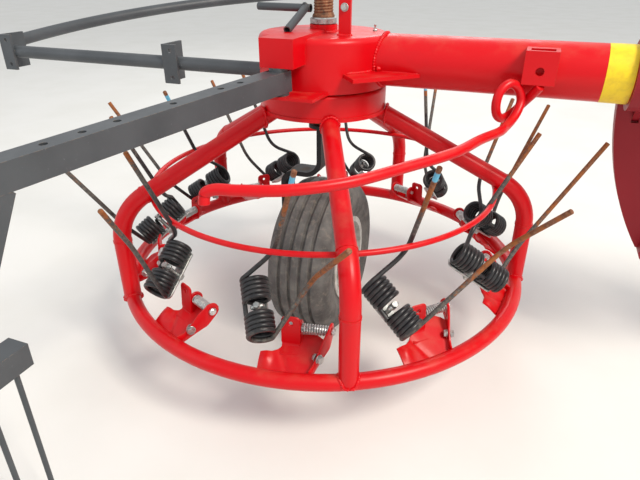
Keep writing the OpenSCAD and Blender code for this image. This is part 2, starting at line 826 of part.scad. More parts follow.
module spoke_frame(side) {
  color(red) at_side(side) difference() {
    union() {
      translate([0, 0, ring_z]) round_ring(ring_r, ring_tube);
      translate([0, 0, hoop_rod_z]) round_ring(hoop_rod_r, hoop_rod_d);
      for (i = [0 : spoke_count - 1]) rotate([0, 0, spoke_phase + 360 / spoke_count * i]) spoke();
    }
    translate([0, 0, disc_bottom - seat]) cylinder(r = disc_r + disc_rim + seat, h = disc_h + drum_h);
  }
}

module spoke_frame_left() { spoke_frame(-1); }
module spoke_frame_right() { spoke_frame(1); }

// Places a child at each tine's angle: X out from the rotor axis, Y the way the rotor's legs lean
module at_tines(lag) {
  for (i = [0 : tine_count - 1])
    rotate([0, 0, spoke_phase + tine_lag + lag + tine_step * i]) children();
}

// Tines: each a double coil with a short inner and a long outer leg
coil_pitch = wire_d * 0.96;
coil_len = (coil_turns - 1) * coil_pitch + wire_d;
coil_in = coil_rho - coil_gap / 2 - coil_len;
coil_out = coil_rho + coil_gap / 2;
// Length and rise of each leg before its bend
inner_run = 109;
inner_rise = 48;
outer_run = 84;
outer_rise = 40;
// The legs are drawn slightly thinner than the coil's wire and start inside its last turn
leg_d = wire_d - 0.6;
root_in = 3;

// Direction from its rise above the level and its turn outward from the tangent, in degrees
function aim(rise, turn) = [cos(rise) * sin(turn), cos(rise) * cos(turn), sin(rise)];

module coil(x) {
  translate([x, 0, coil_z]) rotate([0, 90, 0]) rotate_extrude($fn = 48)
    for (k = [0 : coil_turns - 1])
      translate([coil_r, wire_d / 2 + k * coil_pitch]) circle(d = wire_d, $fn = 24);
}

module tine() {
  inner_root = [coil_in + wire_d / 2, -coil_r * sin(inner_rise), coil_z + coil_r * cos(inner_rise)];
  inner_bend = inner_root + inner_run * aim(inner_rise, 3);
  outer_x = coil_out + coil_len - wire_d / 2;
  outer_root = [outer_x, coil_r * sin(outer_rise), coil_z - coil_r * cos(outer_rise)];
  outer_bend = outer_root + outer_run * aim(outer_rise, -3);
  coil(coil_in);
  coil(coil_out);
  rod([coil_in + coil_len - wire_d / 2, -coil_r, coil_z], [coil_out + wire_d / 2, -coil_r, coil_z], leg_d);
  inner_start = inner_root - root_in * aim(inner_rise, 3);
  outer_start = outer_root - root_in * aim(outer_rise, -3);
  bent_rod([inner_start, inner_bend, inner_bend + inner_leg * aim(67, 62)], leg_d);
  bent_rod([outer_start, outer_bend, outer_bend + outer_leg * aim(49, 38)], leg_d);
}

module tines(side) { color(black) at_side(side) at_tines(0) tine(); }
module tines_left() { tines(-1); }
module tines_right() { tines(1); }

// Tine brackets: pressed sheet with a skewed web, a folded lug, a flange with an ear, and a tongue
web_t = 6;
web_top = 405;
web_rise = 34;
pad_top = 442;
web_start = -45;
web_end = 64;
clamp_bar_t = 5;
tongue_z = coil_z - coil_r - wire_d / 2 - clamp_bar_t - 2 * seat;
tongue_t = 6;
tongue_w = 48;
tongue_over = 26;
bolt_d = 12;
latch_rho = 413;
latch_z = 254;
latch_pin_d = 10;
// Tangential places of the lug's wall and of the ear, and the lug's size
lug_at = 35;
ear_at = 92;
fold_w = 40;
lug_top_z = 286;
lug_hole_d = 8;
lug_front = 428;
ear_r = 18;

// Plan of the web: a low pad, the lug's neck, and a side skewed towards the ear
module web_plan() {
  polygon([
    [ring_r, web_start], [pad_top, web_start], [pad_top, web_start + 30],
    [lug_front - 4, lug_at - fold_w], [web_top, lug_at - 6], [web_top, ear_at - 24],
    [latch_rho, ear_at + web_t], [latch_rho + ear_r, ear_at + web_t], [ring_r, web_end]
  ]);
}

// Sheet that rises inward from the ring
module web_slab() {
  intersection() {
    translate([ring_in - 1, 0, ring_z - 4]) rotate([0, web_rise, 0])
      translate([-120, web_start, -web_t]) cube([130, ear_at + web_t - web_start, web_t]);
    linear_extrude(coil_z) web_plan();
  }
}

// Folded lug: a front with a hole and a rounded top, and a side wall for the latch pin
module lug_fold() {
  foot_z = ring_z + 32;
  r = 10;
  translate([lug_front, lug_at - fold_w, 0]) rotate([0, -90, 0]) linear_extrude(web_t) difference() {
    union() {
      translate([foot_z, 0]) square([lug_top_z - r - foot_z, fold_w]);
      for (y = [r, fold_w - r]) translate([lug_top_z - r, y]) circle(r = r);
      translate([lug_top_z - r - 1, r]) square([r + 1, fold_w - 2 * r]);
    }
    translate([lug_top_z - 15, fold_w / 2]) circle(d = lug_hole_d);
  }
  translate([0, lug_at, 0]) rotate([90, 0, 0]) linear_extrude(web_t) {
    polygon([[lug_front - 1, foot_z], [lug_front - 1, lug_top_z - r], [latch_rho, latch_z + ear_r],
      [latch_rho - ear_r, latch_z], [web_top + 2, foot_z + 12]]);
    translate([latch_rho, latch_z]) circle(r = ear_r);
  }
}

// Flange on the web's skewed side, and the ear that it ends in
module flange() {
  run = [latch_rho + ear_r - ring_in, ear_at - web_end];
  translate([ring_in, web_end, 0]) rotate([0, 0, atan2(run[1], run[0])]) rotate([90, 0, 0])
    linear_extrude(web_t) polygon([
      [-8, ring_z - 6], [norm(run) + 2, ring_z + 30], [norm(run) + 2, latch_z + 6],
      [norm(run) * 0.5, ring_z + 42], [4, ring_z + 14], [-8, ring_z + 8]
    ]);
  translate([0, ear_at + web_t, 0]) rotate([90, 0, 0]) linear_extrude(web_t) {
    translate([latch_rho, latch_z]) circle(r = ear_r);
    polygon([[latch_rho - 10, latch_z], [latch_rho + ear_r, latch_z], [latch_rho + ear_r + 4, ring_z + 30],
      [latch_rho, ring_z + 40]]);
  }
}

module tine_bracket() {
  bolt_x = coil_rho * cos(bracket_lag);
  bolt_y = -coil_rho * sin(bracket_lag);
  difference() {
    union() {
      web_slab();
      lug_fold();
      flange();
      translate([bolt_x - tongue_w / 2, bolt_y - tongue_over, tongue_z - tongue_t])
        cube([tongue_w, lug_at - bolt_y + tongue_over - 1, tongue_t]);
    }
    difference() {
      cylinder(r = 2 * ring_r, h = 2 * coil_z);
      translate([0, 0, -1]) cylinder(r = ring_in - seat, h = 2 * coil_z + 2);
    }
    translate([bolt_x, bolt_y, tongue_z - tongue_t - 1]) cylinder(d = bolt_d + 2 * seat, h = tongue_t + 2);
    translate([latch_rho, ear_at + web_t + 1, latch_z]) rotate([90, 0, 0])
      cylinder(d = latch_pin_d + 2 * seat, h = ear_at - lug_at + 2 * web_t + 2);
  }
}

module tine_brackets(side) { color(red) at_side(side) at_tines(bracket_lag) tine_bracket(); }
module tine_brackets_left() { tine_brackets(-1); }
module tine_brackets_right() { tine_brackets(1); }

// Tine clamps: flat bar under the coils, bolt up between them, washer and head on top
clamp_bar_len = 130;
clamp_bar_w = 30;
washer_d = 36;
washer_t = 4;
nut_w = 21;
nut_t = 8;

module tine_clamp() {
  top = coil_z + coil_r + wire_d / 2 + seat;
  translate([coil_rho - clamp_bar_len / 2, -clamp_bar_w / 2, tongue_z + seat])
    cube([clamp_bar_len, clamp_bar_w, clamp_bar_t]);
  translate([coil_rho, 0, tongue_z - tongue_t - seat - nut_t - 2])
    cylinder(d = bolt_d, h = top + 2 * nut_t - tongue_z + tongue_t);
  translate([coil_rho, 0, tongue_z - tongue_t - seat - nut_t]) cylinder(d = nut_w, h = nut_t, $fn = 6);
  translate([coil_rho, 0, top]) cylinder(d = washer_d, h = washer_t);
  translate([coil_rho, 0, top + washer_t - 1]) cylinder(d = nut_w, h = nut_t, $fn = 6);
}

module tine_clamps(side) { color(zinc) at_side(side) at_tines(0) tine_clamp(); }
module tine_clamps_left() { tine_clamps(-1); }
module tine_clamps_right() { tine_clamps(1); }

// Latch springs: a coil spring on its pin between the lug and the flange
spring_d = 22;
spring_wire = 4;
spring_pitch = 7;

module latch_spring() {
  spring_len = ear_at - lug_at - 2 * seat;
  turns = floor(spring_len / spring_pitch);
  translate([latch_rho, lug_at + seat, latch_z]) rotate([-90, 0, 0]) {
    translate([0, 0, -web_t - seat - 2])
      cylinder(d = latch_pin_d, h = spring_len + 2 * (web_t + seat) + 12);
    cylinder(d = spring_d - spring_wire, h = spring_len);
    for (k = [0 : turns - 1]) translate([0, 0, (k + 0.5) * spring_len / turns])
      rotate_extrude($fn = 32) translate([(spring_d - spring_wire) / 2, 0])
        circle(d = spring_wire, $fn = 16);
  }
}

module latch_springs(side) { color(zinc) at_side(side) at_tines(bracket_lag) latch_spring(); }
module latch_springs_left() { latch_springs(-1); }
module latch_springs_right() { latch_springs(1); }

// Gate arm: a drilled square tube that swings on the drum's bolt, with a leg at its corner
arm_back = 15;
arm_holes = [110, 160, 270, 380, 440, 500];
arm_hole = 13;
leg_w = 40;
leg_wall = 3.5;
leg_lean = 26;
leg_len = 300;
heading = 270 - arm_out;
corner = [
  pivot_x + arm_len * cos(arm_droop) * cos(heading),
  pivot_y + arm_len * cos(arm_droop) * sin(heading),
  arm_z - arm_len * sin(arm_droop)
];
leg_end = corner + leg_len * [sin(leg_lean) * cos(heading), sin(leg_lean) * sin(heading), -cos(leg_lean)];

// Square tube of the leg, open at the foot
module leg_tube() {
  start = arm_w / 2 - arm_wall;
  inner = leg_w - 2 * leg_wall;
  difference() {
    translate([-leg_w / 2, -leg_w / 2, start]) cube([leg_w, leg_w, leg_len - start]);
    translate([-inner / 2, -inner / 2, start + leg_w / 2]) cube([inner, inner, leg_len]);
  }
}

module gate_arm(side) {
  color(grey) at_side(side) difference() {
    union() {
      translate([pivot_x, pivot_y, arm_z]) rotate([0, 0, heading]) rotate([0, arm_droop, 0]) difference() {
        translate([-arm_back, -arm_w / 2, -arm_w / 2]) cube([arm_len + arm_back + leg_w / 2, arm_w, arm_w]);
        translate([bush_d / 2, -arm_w / 2 + arm_wall, -arm_w / 2 + arm_wall])
          cube([arm_len + leg_w, arm_w - 2 * arm_wall, arm_w - 2 * arm_wall]);
        for (u = arm_holes) translate([u, 0, -arm_w]) cylinder(d = arm_hole, h = 2 * arm_w);
      }
      translate([pivot_x, pivot_y, drum_z + lower_plate_t + seat])
        cylinder(d = bush_d, h = socket_z - drum_z - lower_plate_t - 2 * seat);
    }
    translate([pivot_x, pivot_y, drum_z]) cylinder(d = pivot_d + 2 * pivot_gap, h = socket_z);
  }
}

module gate_arm_left() { gate_arm(-1); }
module gate_arm_right() { gate_arm(1); }

// Gate leg: a leaning square tube, cut to fit under the arm's end
module gate_leg(side) {
  color(grey) at_side(side) difference() {
    translate(corner) rotate([0, 0, heading]) rotate([0, 180 - leg_lean, 0]) leg_tube();
    translate([pivot_x, pivot_y, arm_z]) rotate([0, 0, heading]) rotate([0, arm_droop, 0])
      translate([0, -arm_w / 2 - seat, -arm_w / 2 - seat])
        cube([arm_len + leg_w, arm_w + 2 * seat, arm_w + leg_w]);
  }
}

module gate_leg_left() { gate_leg(-1); }
module gate_leg_right() { gate_leg(1); }

// Gate: a bar on the leg's foot with hanging spring rods
gate_bar = 40;
gate_inner = 110;
gate_len = reach + leg_end[1] + gate_inner;
rod_foot = 60;
rod_bend = 70;
rod_turn = 35;
gate_wall = 3.5;

module gate_rod() {
  straight = leg_end[2] - rod_foot - rod_bend * sin(rod_turn);
  translate([0, 0, -straight]) cylinder(d = gate_rod_d, h = straight);
  translate([-rod_bend, 0, -straight]) rotate([-90, 0, 0])
    rotate_extrude(angle = rod_turn) translate([rod_bend, 0]) circle(d = gate_rod_d, $fn = 24);
}

module gate(side) {
  x0 = leg_end[0] - gate_bar / 2;
  rod_y0 = -reach + gate_bar / 2;
  rod_step = (gate_len - gate_bar) / (gate_rods - 1);
  color(grey) at_side(side) difference() {
    union() {
      difference() {
        translate([x0, -reach, leg_end[2] - gate_bar]) cube([gate_bar, gate_len, gate_bar]);
        translate([x0 + gate_wall, -reach - 1, leg_end[2] - gate_bar + gate_wall])
          cube([gate_bar - 2 * gate_wall, gate_len + 2, gate_bar - 2 * gate_wall]);
      }
      for (k = [0 : gate_rods - 1])
        translate([leg_end[0], rod_y0 + k * rod_step, leg_end[2] - gate_bar / 2]) gate_rod();
    }
    translate(leg_end) rotate([0, 0, heading]) rotate([0, 180 - leg_lean, 0])
      translate([-leg_w / 2 - seat, -leg_w / 2 - seat, -leg_len])
        cube([leg_w + 2 * seat, leg_w + 2 * seat, leg_len + seat]);
  }
}

module gate_left() { gate(-1); }
module gate_right() { gate(1); }

main_beam();
gear_drum_left();
gear_drum_right();
centre_gearbox();
headstock();
link_lugs();
brace_bars();
lower_link_pins();
cheek_plates();
shaft_guard();
guard_hoop_left();
guard_hoop_right();
crop_rod_left();
crop_rod_right();
spindle_left();
spindle_right();
crank_left();
crank_right();
wheel_arm_left();
wheel_arm_right();
stand_leg();
drive_shaft();
rotor_disc_left();
rotor_disc_right();
spoke_frame_left();
spoke_frame_right();
tine_brackets_left();
tine_brackets_right();
tine_clamps_left();
tine_clamps_right();
latch_springs_left();
latch_springs_right();
tines_left();
tines_right();
tyre_left();
tyre_right();
rim_left();
rim_right();
gate_arm_left();
gate_arm_right();
gate_leg_left();
gate_leg_right();
gate_left();
gate_right();
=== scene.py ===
"""Twin rotor hay rake: the finish of every surface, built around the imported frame.

The machine stands in metres in the frame's own axes: X along the cross beam, +Y towards the
hitch, Z up, and the ground at Z = 0.  Each sub-assembly is a class whose pieces are drawn on the
left rotor's axis, in metres; to_object makes one of each per side and mirrors the right one.
"""

from __future__ import annotations

import json
import logging
import math
from dataclasses import dataclass, field, replace
from enum import Enum
from typing import Any, Sequence

import bmesh
import bpy
import numpy as np
from mathutils import Matrix, Vector

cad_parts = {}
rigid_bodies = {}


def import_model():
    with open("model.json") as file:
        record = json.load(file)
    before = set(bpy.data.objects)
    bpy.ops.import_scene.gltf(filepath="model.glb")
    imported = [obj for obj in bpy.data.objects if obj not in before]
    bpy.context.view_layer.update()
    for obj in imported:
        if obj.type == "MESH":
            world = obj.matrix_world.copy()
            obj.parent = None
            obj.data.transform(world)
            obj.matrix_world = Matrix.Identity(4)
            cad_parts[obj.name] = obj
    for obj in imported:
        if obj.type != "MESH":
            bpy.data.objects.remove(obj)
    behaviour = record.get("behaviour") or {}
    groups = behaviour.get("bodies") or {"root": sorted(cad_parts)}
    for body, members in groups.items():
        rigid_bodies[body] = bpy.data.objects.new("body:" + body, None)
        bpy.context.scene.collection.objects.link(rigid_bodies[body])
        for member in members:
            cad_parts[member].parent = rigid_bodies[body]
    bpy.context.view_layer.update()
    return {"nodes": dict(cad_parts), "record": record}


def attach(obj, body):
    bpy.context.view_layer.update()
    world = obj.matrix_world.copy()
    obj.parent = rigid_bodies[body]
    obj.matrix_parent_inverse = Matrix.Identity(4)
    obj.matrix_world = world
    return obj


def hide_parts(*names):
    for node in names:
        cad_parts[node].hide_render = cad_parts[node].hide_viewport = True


LOG = logging.getLogger("hay_rake")
MM = 0.001
HALF_SPACING = 0.98
# a direction that no rod or tube of the machine runs along
OFF_AXIS = (0.21, 0.13, 0.97)
# vertices nearer than this are one
SAME_PLACE = 2e-6
Array = np.ndarray
Point = Sequence[float]
Material = bpy.types.Material
Socket = bpy.types.NodeSocket


class Side(Enum):
    """The two rotors, by the sign of their X."""

    LEFT = -1
    RIGHT = 1

    @property
    def word(self) -> str:
        """The side's word in node and body names."""
        return self.name.lower()


# ---------------------------------------------------------------- surfaces


@dataclass
class Surface:
    """A mesh as whole arrays: points, four-sided faces, caps of more corners, and one mark per point."""

    points: Array
    quads: Array
    caps: list[list[int]] = field(default_factory=list)
    mark: Array | None = None

    def marks(self) -> Array:
        """One number per point that a finish may read; 0 where none was given."""
        return np.zeros(len(self.points)) if self.mark is None else self.mark

    def placed(self, origin: Point, x_axis: Point, y_axis: Point) -> Surface:
        """Carries the surface into a frame given by an origin and two axes.

        Args:
            origin: Where the surface's own origin goes.
            x_axis: Direction of its X.
            y_axis: Direction of its Y, made square to X.

        Returns:
            The moved surface; Z is X crossed with Y.
        """
        x, y = unit(x_axis), np.asarray(y_axis, float)
        y = unit(y - x * (x @ y))
        basis = np.stack([x, y, np.cross(x, y)])
        return replace(self, points=self.points @ basis + np.asarray(origin, float))

    def turned(self, degrees: float) -> Surface:
        """Turns the surface about the vertical axis."""
        a = math.radians(degrees)
        spin = np.array([[math.cos(a), math.sin(a), 0], [-math.sin(a), math.cos(a), 0], [0, 0, 1]])
        return replace(self, points=self.points @ spin)

    def moved(self, shift: Point) -> Surface:
        """Shifts the surface by a vector."""
        return replace(self, points=self.points + np.asarray(shift, float))


def unit(vectors: Any) -> Array:
    """A vector, or each of an array of vectors, made one long."""
    vectors = np.asarray(vectors, float)
    return vectors / np.linalg.norm(vectors, axis=-1, keepdims=True)


def joined(parts: Sequence[Surface]) -> Surface:
    """Puts several surfaces into one, each kept as its own shell."""
    offsets = np.cumsum([0] + [len(p.points) for p in parts])
    quads = [p.quads + o for p, o in zip(parts, offsets) if len(p.quads)]
    caps = [[i + int(o) for i in cap] for p, o in zip(parts, offsets) for cap in p.caps]
    return Surface(
        np.vstack([p.points for p in parts]),
        np.vstack(quads) if quads else np.zeros((0, 4), int),
        caps,
        np.concatenate([p.marks() for p in parts]),
    )


def grid(points: Array, closed: bool = False, cap: bool = False) -> Surface:
    """A surface over rows of points, each row a closed loop.

    Args:
        points: Array of rows by columns by three.
        closed: Joins the last row to the first.
        cap: Closes the first and the last row with a flat face.

    Returns:
        The surface, with a face between each four neighbours.
    """
    rows, cols = points.shape[:2]
    i = np.arange(rows if closed else rows - 1)[:, None]
    j = np.arange(cols)[None, :]
    after, beside = (i + 1) % rows, (j + 1) % cols
    quads = np.stack([i * cols + j, after * cols + j, after * cols + beside, i * cols + beside], -1)
    quads = quads.reshape(-1, 4)
    caps = [list(range(cols)), list(range((rows - 1) * cols, rows * cols))[::-1]] if cap else []
    return Surface(points.reshape(-1, 3), quads, caps)


def carry(profile: Array, path: Array, ref: Point, scale: Array | None = None, cap: bool = True) -> Surface:
    """A profile carried along a path.

    The path's heading at a point is the difference of its neighbours, the profile's first
    axis is the heading crossed with ref, and its second axis is the heading crossed with that.

    Args:
        profile: Closed outline, one row of two lengths for each corner.
        path: The points that it follows.
        ref: A direction that the path never runs along.
        scale: A factor on the profile for each point of the path.
        cap: Closes both ends with a flat face.

    Returns:
        The surface, marked with the distance along the path.
    """
    path = np.asarray(path, float)
    heading = unit(np.gradient(path, axis=0))
    first = unit(np.cross(heading, np.asarray(ref, float)))
    second = np.cross(heading, first)
    factor = np.ones(len(path)) if scale is None else scale
    offsets = first[:, None, :] * profile[None, :, :1] + second[:, None, :] * profile[None, :, 1:]
    surface = grid(path[:, None, :] + offsets * factor[:, None, None], cap=cap)
    surface.mark = np.repeat(run_of(path), len(profile))
    return surface


def run_of(path: Array) -> Array:
    """Distance of each point along its path."""
    return np.concatenate([[0], np.cumsum(np.linalg.norm(np.diff(path, axis=0), axis=1))])


def arc(radius: float, start: float, stop: float, count: int) -> Array:
    """Points of an arc between two angles in degrees, one row of two lengths for each."""
    a = np.radians(np.linspace(start, stop, count))
    return radius * np.stack([np.cos(a), np.sin(a)], 1)


def level(line: Array, height: float) -> Array:
    """Points of a flat line at one height."""
    return np.column_stack([line, np.full(len(line), height)])


def circle(radius: float, sides: int) -> Array:
    """Corners of a circle, as a closed outline."""
    a = np.arange(sides) * 2 * np.pi / sides
    return radius * np.stack([np.cos(a), np.sin(a)], 1)


def rounded_box(width: float, height: float, corner: float, steps: int) -> Array:
    """Outline of a rectangle whose corners are arcs.

    Args:
        width: Full width, along the first axis.
        height: Full height, along the second axis.
        corner: Radius of the corner arcs.
        steps: Points on each arc, less one.

    Returns:
        The closed outline, anticlockwise.
    """
    centres = np.array([[1, 1], [-1, 1], [-1, -1], [1, -1]]) * [width / 2 - corner, height / 2 - corner]
    return np.vstack([arc(corner, 90 * n, 90 * n + 90, steps + 1) + c for n, c in enumerate(centres)])


def rod(path: Array, radius: float, sides: int = 16, ref: Point = OFF_AXIS) -> Surface:
    """A round bar along a path, its ends softened: the radius shrinks over the last millimetre or so."""
    path = np.asarray(path, float)
    ease = min(0.0012, radius * 0.3)
    first = path[0] - unit(path[0] - path[1]) * ease
    last = path[-1] - unit(path[-1] - path[-2]) * ease
    full = np.vstack([path[:1], first, path[1:-1], last, path[-1:]])
    scale = np.ones(len(full))
    scale[[0, -1]] = 1 - ease / radius
    return carry(circle(radius, sides), full, ref, scale)


def lathe(profile: Array, sides: int, closed: bool = True) -> Surface:
    """An outline of radius and height turned about the vertical axis.

    Args:
        profile: Rows of radius and height.
        sides: Steps of the turn.
        closed: The outline returns to its start, as a ring's does; otherwise its ends are capped.

    Returns:
        The turned surface.
    """
    a = np.arange(sides) * 2 * np.pi / sides
    r, z = profile[:, 0], profile[:, 1]
    spin = np.stack([np.cos(a), np.sin(a), np.ones(sides)], -1)
    return grid(np.stack([r, r, z], -1)[:, None, :] * spin, closed=closed, cap=not closed)


def plate(outline: Array, thickness: float, edge: float) -> Surface:
    """A flat plate from z = 0 up to its thickness, its rims softened by an inset of edge.

    Args:
        outline: Closed outline, anticlockwise.
        thickness: The plate's thickness.
        edge: Inset and height of the softened rim.

    Returns:
        The plate.
    """
    outline = np.asarray(outline, float)
    both = unit(np.roll(outline, -1, 0) - outline) + unit(outline - np.roll(outline, 1, 0))
    mitre = np.stack([-both[:, 1], both[:, 0]], 1)
    sharpest = 0.35
    mitre /= np.maximum(np.sum(mitre * mitre, axis=1, keepdims=True) / 2, sharpest)
    inset = outline + edge * mitre
    rows = [(inset, 0.0), (outline, edge), (outline, thickness - edge), (inset, thickness)]
    return grid(np.stack([level(line, z) for line, z in rows]), cap=True)


def smooth_path(points: Sequence[Point], steps: int) -> Array:
    """A curve through every point, by the uniform cubic that keeps each point's neighbours' slope."""
    p = np.asarray(points, float)
    p = np.vstack([2 * p[0] - p[1], p, 2 * p[-1] - p[-2]])
    a, b, c, d = (p[i:len(p) - 3 + i][:, None] for i in range(4))
    t = (np.arange(steps) / steps)[None, :, None]
    curve = 0.5 * (2 * b + (c - a) * t + (2 * a - 5 * b + 4 * c - d) * t**2 + (3 * b - a - 3 * c + d) * t**3)
    return np.vstack([curve.reshape(-1, p.shape[1]), p[-2:-1]])


def bend_corners(points: Sequence[Point], radius: float, steps: int) -> Array:
    """A path of straight runs whose inner corners are arcs, each a quadratic blend through its corner."""
    p = np.asarray(points, float)
    pieces = [p[:1]]
    t = np.linspace(0, 1, steps)[:, None]
    for before, corner, after in zip(p[:-2], p[1:-1], p[2:]):
        a = corner + unit(before - corner) * radius
        c = corner + unit(after - corner) * radius
        pieces.append((1 - t) ** 2 * a + 2 * t * (1 - t) * corner + t**2 * c)
    pieces.append(p[-1:])
    return np.vstack(pieces)


def hexagon(width: float, height: float) -> Surface:
    """A hexagon head or nut of a width across flats, its top corners eased, standing on z = 0."""
    corners = circle(width / math.sqrt(3), 6)
    rows = [(1.0, 0.0), (1.0, height * 0.8), (0.9, height)]
    return grid(np.stack([level(corners * share, z) for share, z in rows]), cap=True)


def washer(outer: float, inner: float, height: float) -> Surface:
    """A flat ring standing on z = 0."""
    rim = height * 0.25
    profile = np.array([[inner, 0], [outer - rim, 0], [outer, rim], [outer, height - rim],
                        [outer - rim, height], [inner, height]])
    return lathe(profile, 32)


def helix(radius: float, pitch: float, turns: float, steps: int) -> Array:
    """Points of a helix about X: y is the radius times the cosine and z times the sine of the turn."""
    a = np.linspace(0, turns * 2 * np.pi, int(turns * steps) + 1)
    return np.stack([a / (2 * np.pi) * pitch, radius * np.cos(a), radius * np.sin(a)], 1)


def sheet(middle: Array, thickness: float) -> Surface:
    """A sheet of even thickness over a grid of its middle surface.

    Both faces stand half the thickness off the middle along its normal, and the border draws in
    by a third of the thickness, so that the rims are soft.

    Args:
        middle: Rows by columns by three.
        thickness: The sheet's thickness.

    Returns:
        The closed sheet.
    """
    du, dv = (unit(np.gradient(middle, axis=k)) for k in (0, 1))
    normal = unit(np.cross(du, dv))
    inner = middle.copy()
    draw = thickness / 3
    inner[0] += draw * du[0]
    inner[-1] -= draw * du[-1]
    inner[:, 0] += draw * dv[:, 0]
    inner[:, -1] -= draw * dv[:, -1]
    top, bottom = inner + normal * thickness / 2, inner - normal * thickness / 2
    loop = np.concatenate([top, middle[:, -1:], bottom[:, ::-1], middle[:, :1]], axis=1)
    rim = np.concatenate([middle, middle[:, -1:], middle[:, ::-1], middle[:, :1]], axis=1)
    return grid(np.concatenate([rim[:1], loop, rim[-1:]]))


def holed(outline: Array, hole_at: Point, hole_r: float, thickness: float, edge: float,
          corners: int = 72) -> Surface:
    """A plate with one round hole: each outline corner is paired with the hole's point on the same ray.

    Args:
        outline: Closed outline that every ray from the hole meets once.
        hole_at: The hole's centre.
        hole_r: Its radius.
        thickness: The plate's thickness.
        edge: Softening of the rims.
        corners: Even steps added to the outline, so that the hole is round.

    Returns:
        The plate, from z = 0 up.
    """
    ring = np.vstack([outline, outline[:1]])
    run = run_of(ring)
    spots = np.unique(np.concatenate([run[:-1], np.linspace(0, run[-1], corners, endpoint=False)]).round(7))
    outline = np.stack([np.interp(spots, run, ring[:, k]) for k in range(2)], 1)
    ray = outline - np.asarray(hole_at, float)
    reach = np.linalg.norm(ray, axis=1, keepdims=True)
    ray = ray / reach
    bore = np.full_like(reach, hole_r)
    rows = [(bore, edge), (bore + edge, 0.0), (reach - edge, 0.0), (reach, edge), (reach, thickness - edge),
            (reach - edge, thickness), (bore + edge, thickness), (bore, thickness - edge)]
    return grid(np.stack([level(hole_at + ray * r, z) for r, z in rows]), closed=True)


def pipe(path: Array, outer: float, inner: float, sides: int = 24) -> Surface:
    """An open-ended tube: its outer wall, two end rims and its bore as one closed skin."""
    walls = [carry(circle(radius, sides), path, OFF_AXIS, cap=False).points.reshape(len(path), sides, 3)
             for radius in (outer, inner)]
    return grid(np.concatenate([walls[0], walls[1][::-1]]), closed=True)


def weld(path: Array, radius: float, seed: int) -> Surface:
    """A weld bead: a round section whose radius ripples, wanders a little and tapers at both ends.

    Args:
        path: The bead's line.
        radius: Its mean radius.
        seed: Seed of its wandering.

    Returns:
        The bead.
    """
    step, ripple, ripple_length = 0.0012, 0.13, 0.0055
    wander, smoothing, taper_steps, end_share = 0.22, 9, 5, 0.35
    path = np.asarray(path, float)
    along = run_of(path)
    fine = np.arange(0, along[-1], step)
    dense = np.stack([np.interp(fine, along, path[:, k]) for k in range(3)], 1)
    drift = np.random.default_rng(seed).normal(0, 1, len(fine))
    drift = np.convolve(drift, np.ones(smoothing) / smoothing, "same")[:len(fine)]
    scale = 1 + ripple * np.sin(fine * 2 * np.pi / ripple_length) + wander * drift
    from_end = np.minimum(np.arange(len(fine)), np.arange(len(fine))[::-1])
    scale = scale * np.clip(end_share + from_end / taper_steps, 0, 1)
    return carry(circle(radius, 10), dense, (0.31, 0.22, 0.92), scale)


def bolt(across: float, height: float, washer_r: float) -> Surface:
    """A hexagon head on a flat washer, standing on z = 0."""
    lift = height * 0.25
    return joined([washer(washer_r, across * 0.2, lift), hexagon(across, height).moved((0, 0, lift * 0.9))])


def stand_on(surface: Surface, at: Point, normal: Point, spin: float = 0.0) -> Surface:
    """Puts a surface that stands on z = 0 at a place, with its Z along a normal."""
    n = unit(normal)
    side = unit(np.cross(n, (0.13, 0.27, 0.95) if abs(n[2]) < 0.9 else (1, 0.1, 0)))
    x = side * math.cos(spin) + np.cross(n, side) * math.sin(spin)
    return surface.placed(at, x, np.cross(n, x))


def spread(parts: Sequence[Surface], first: float) -> Surface:
    """Spreads parts evenly round the rotor, the first one at an angle in degrees."""
    return joined([part.turned(first + 360 / len(parts) * n) for n, part in enumerate(parts)])


# ---------------------------------------------------------------- objects


def put(name: str, data: bpy.types.ID) -> bpy.types.Object:
    """Makes an object of a mesh, a lamp or a camera and puts it in the scene."""
    obj = bpy.data.objects.new(name, data)
    bpy.context.scene.collection.objects.link(obj)
    return obj


@dataclass(frozen=True)
class Piece:
    """A surface that becomes one object on each side of the machine.

    Attributes:
        name: The piece's name, without its side.
        surface: Its points and faces, drawn on the left rotor's axis.
        moves_with: The body that it moves with, without its side; the frame has none.
        slot: The record's material slot, which also names its finish.
        stands_for: The node that it replaces, without its side, if any.
        finish: Its finish where that isn't the slot's own.
        sharp: Edges that turn by more than this many degrees stay sharp.
    """

    name: str
    surface: Surface
    moves_with: str
    slot: str
    stands_for: str = ""
    finish: str = ""
    sharp: float = 38.0


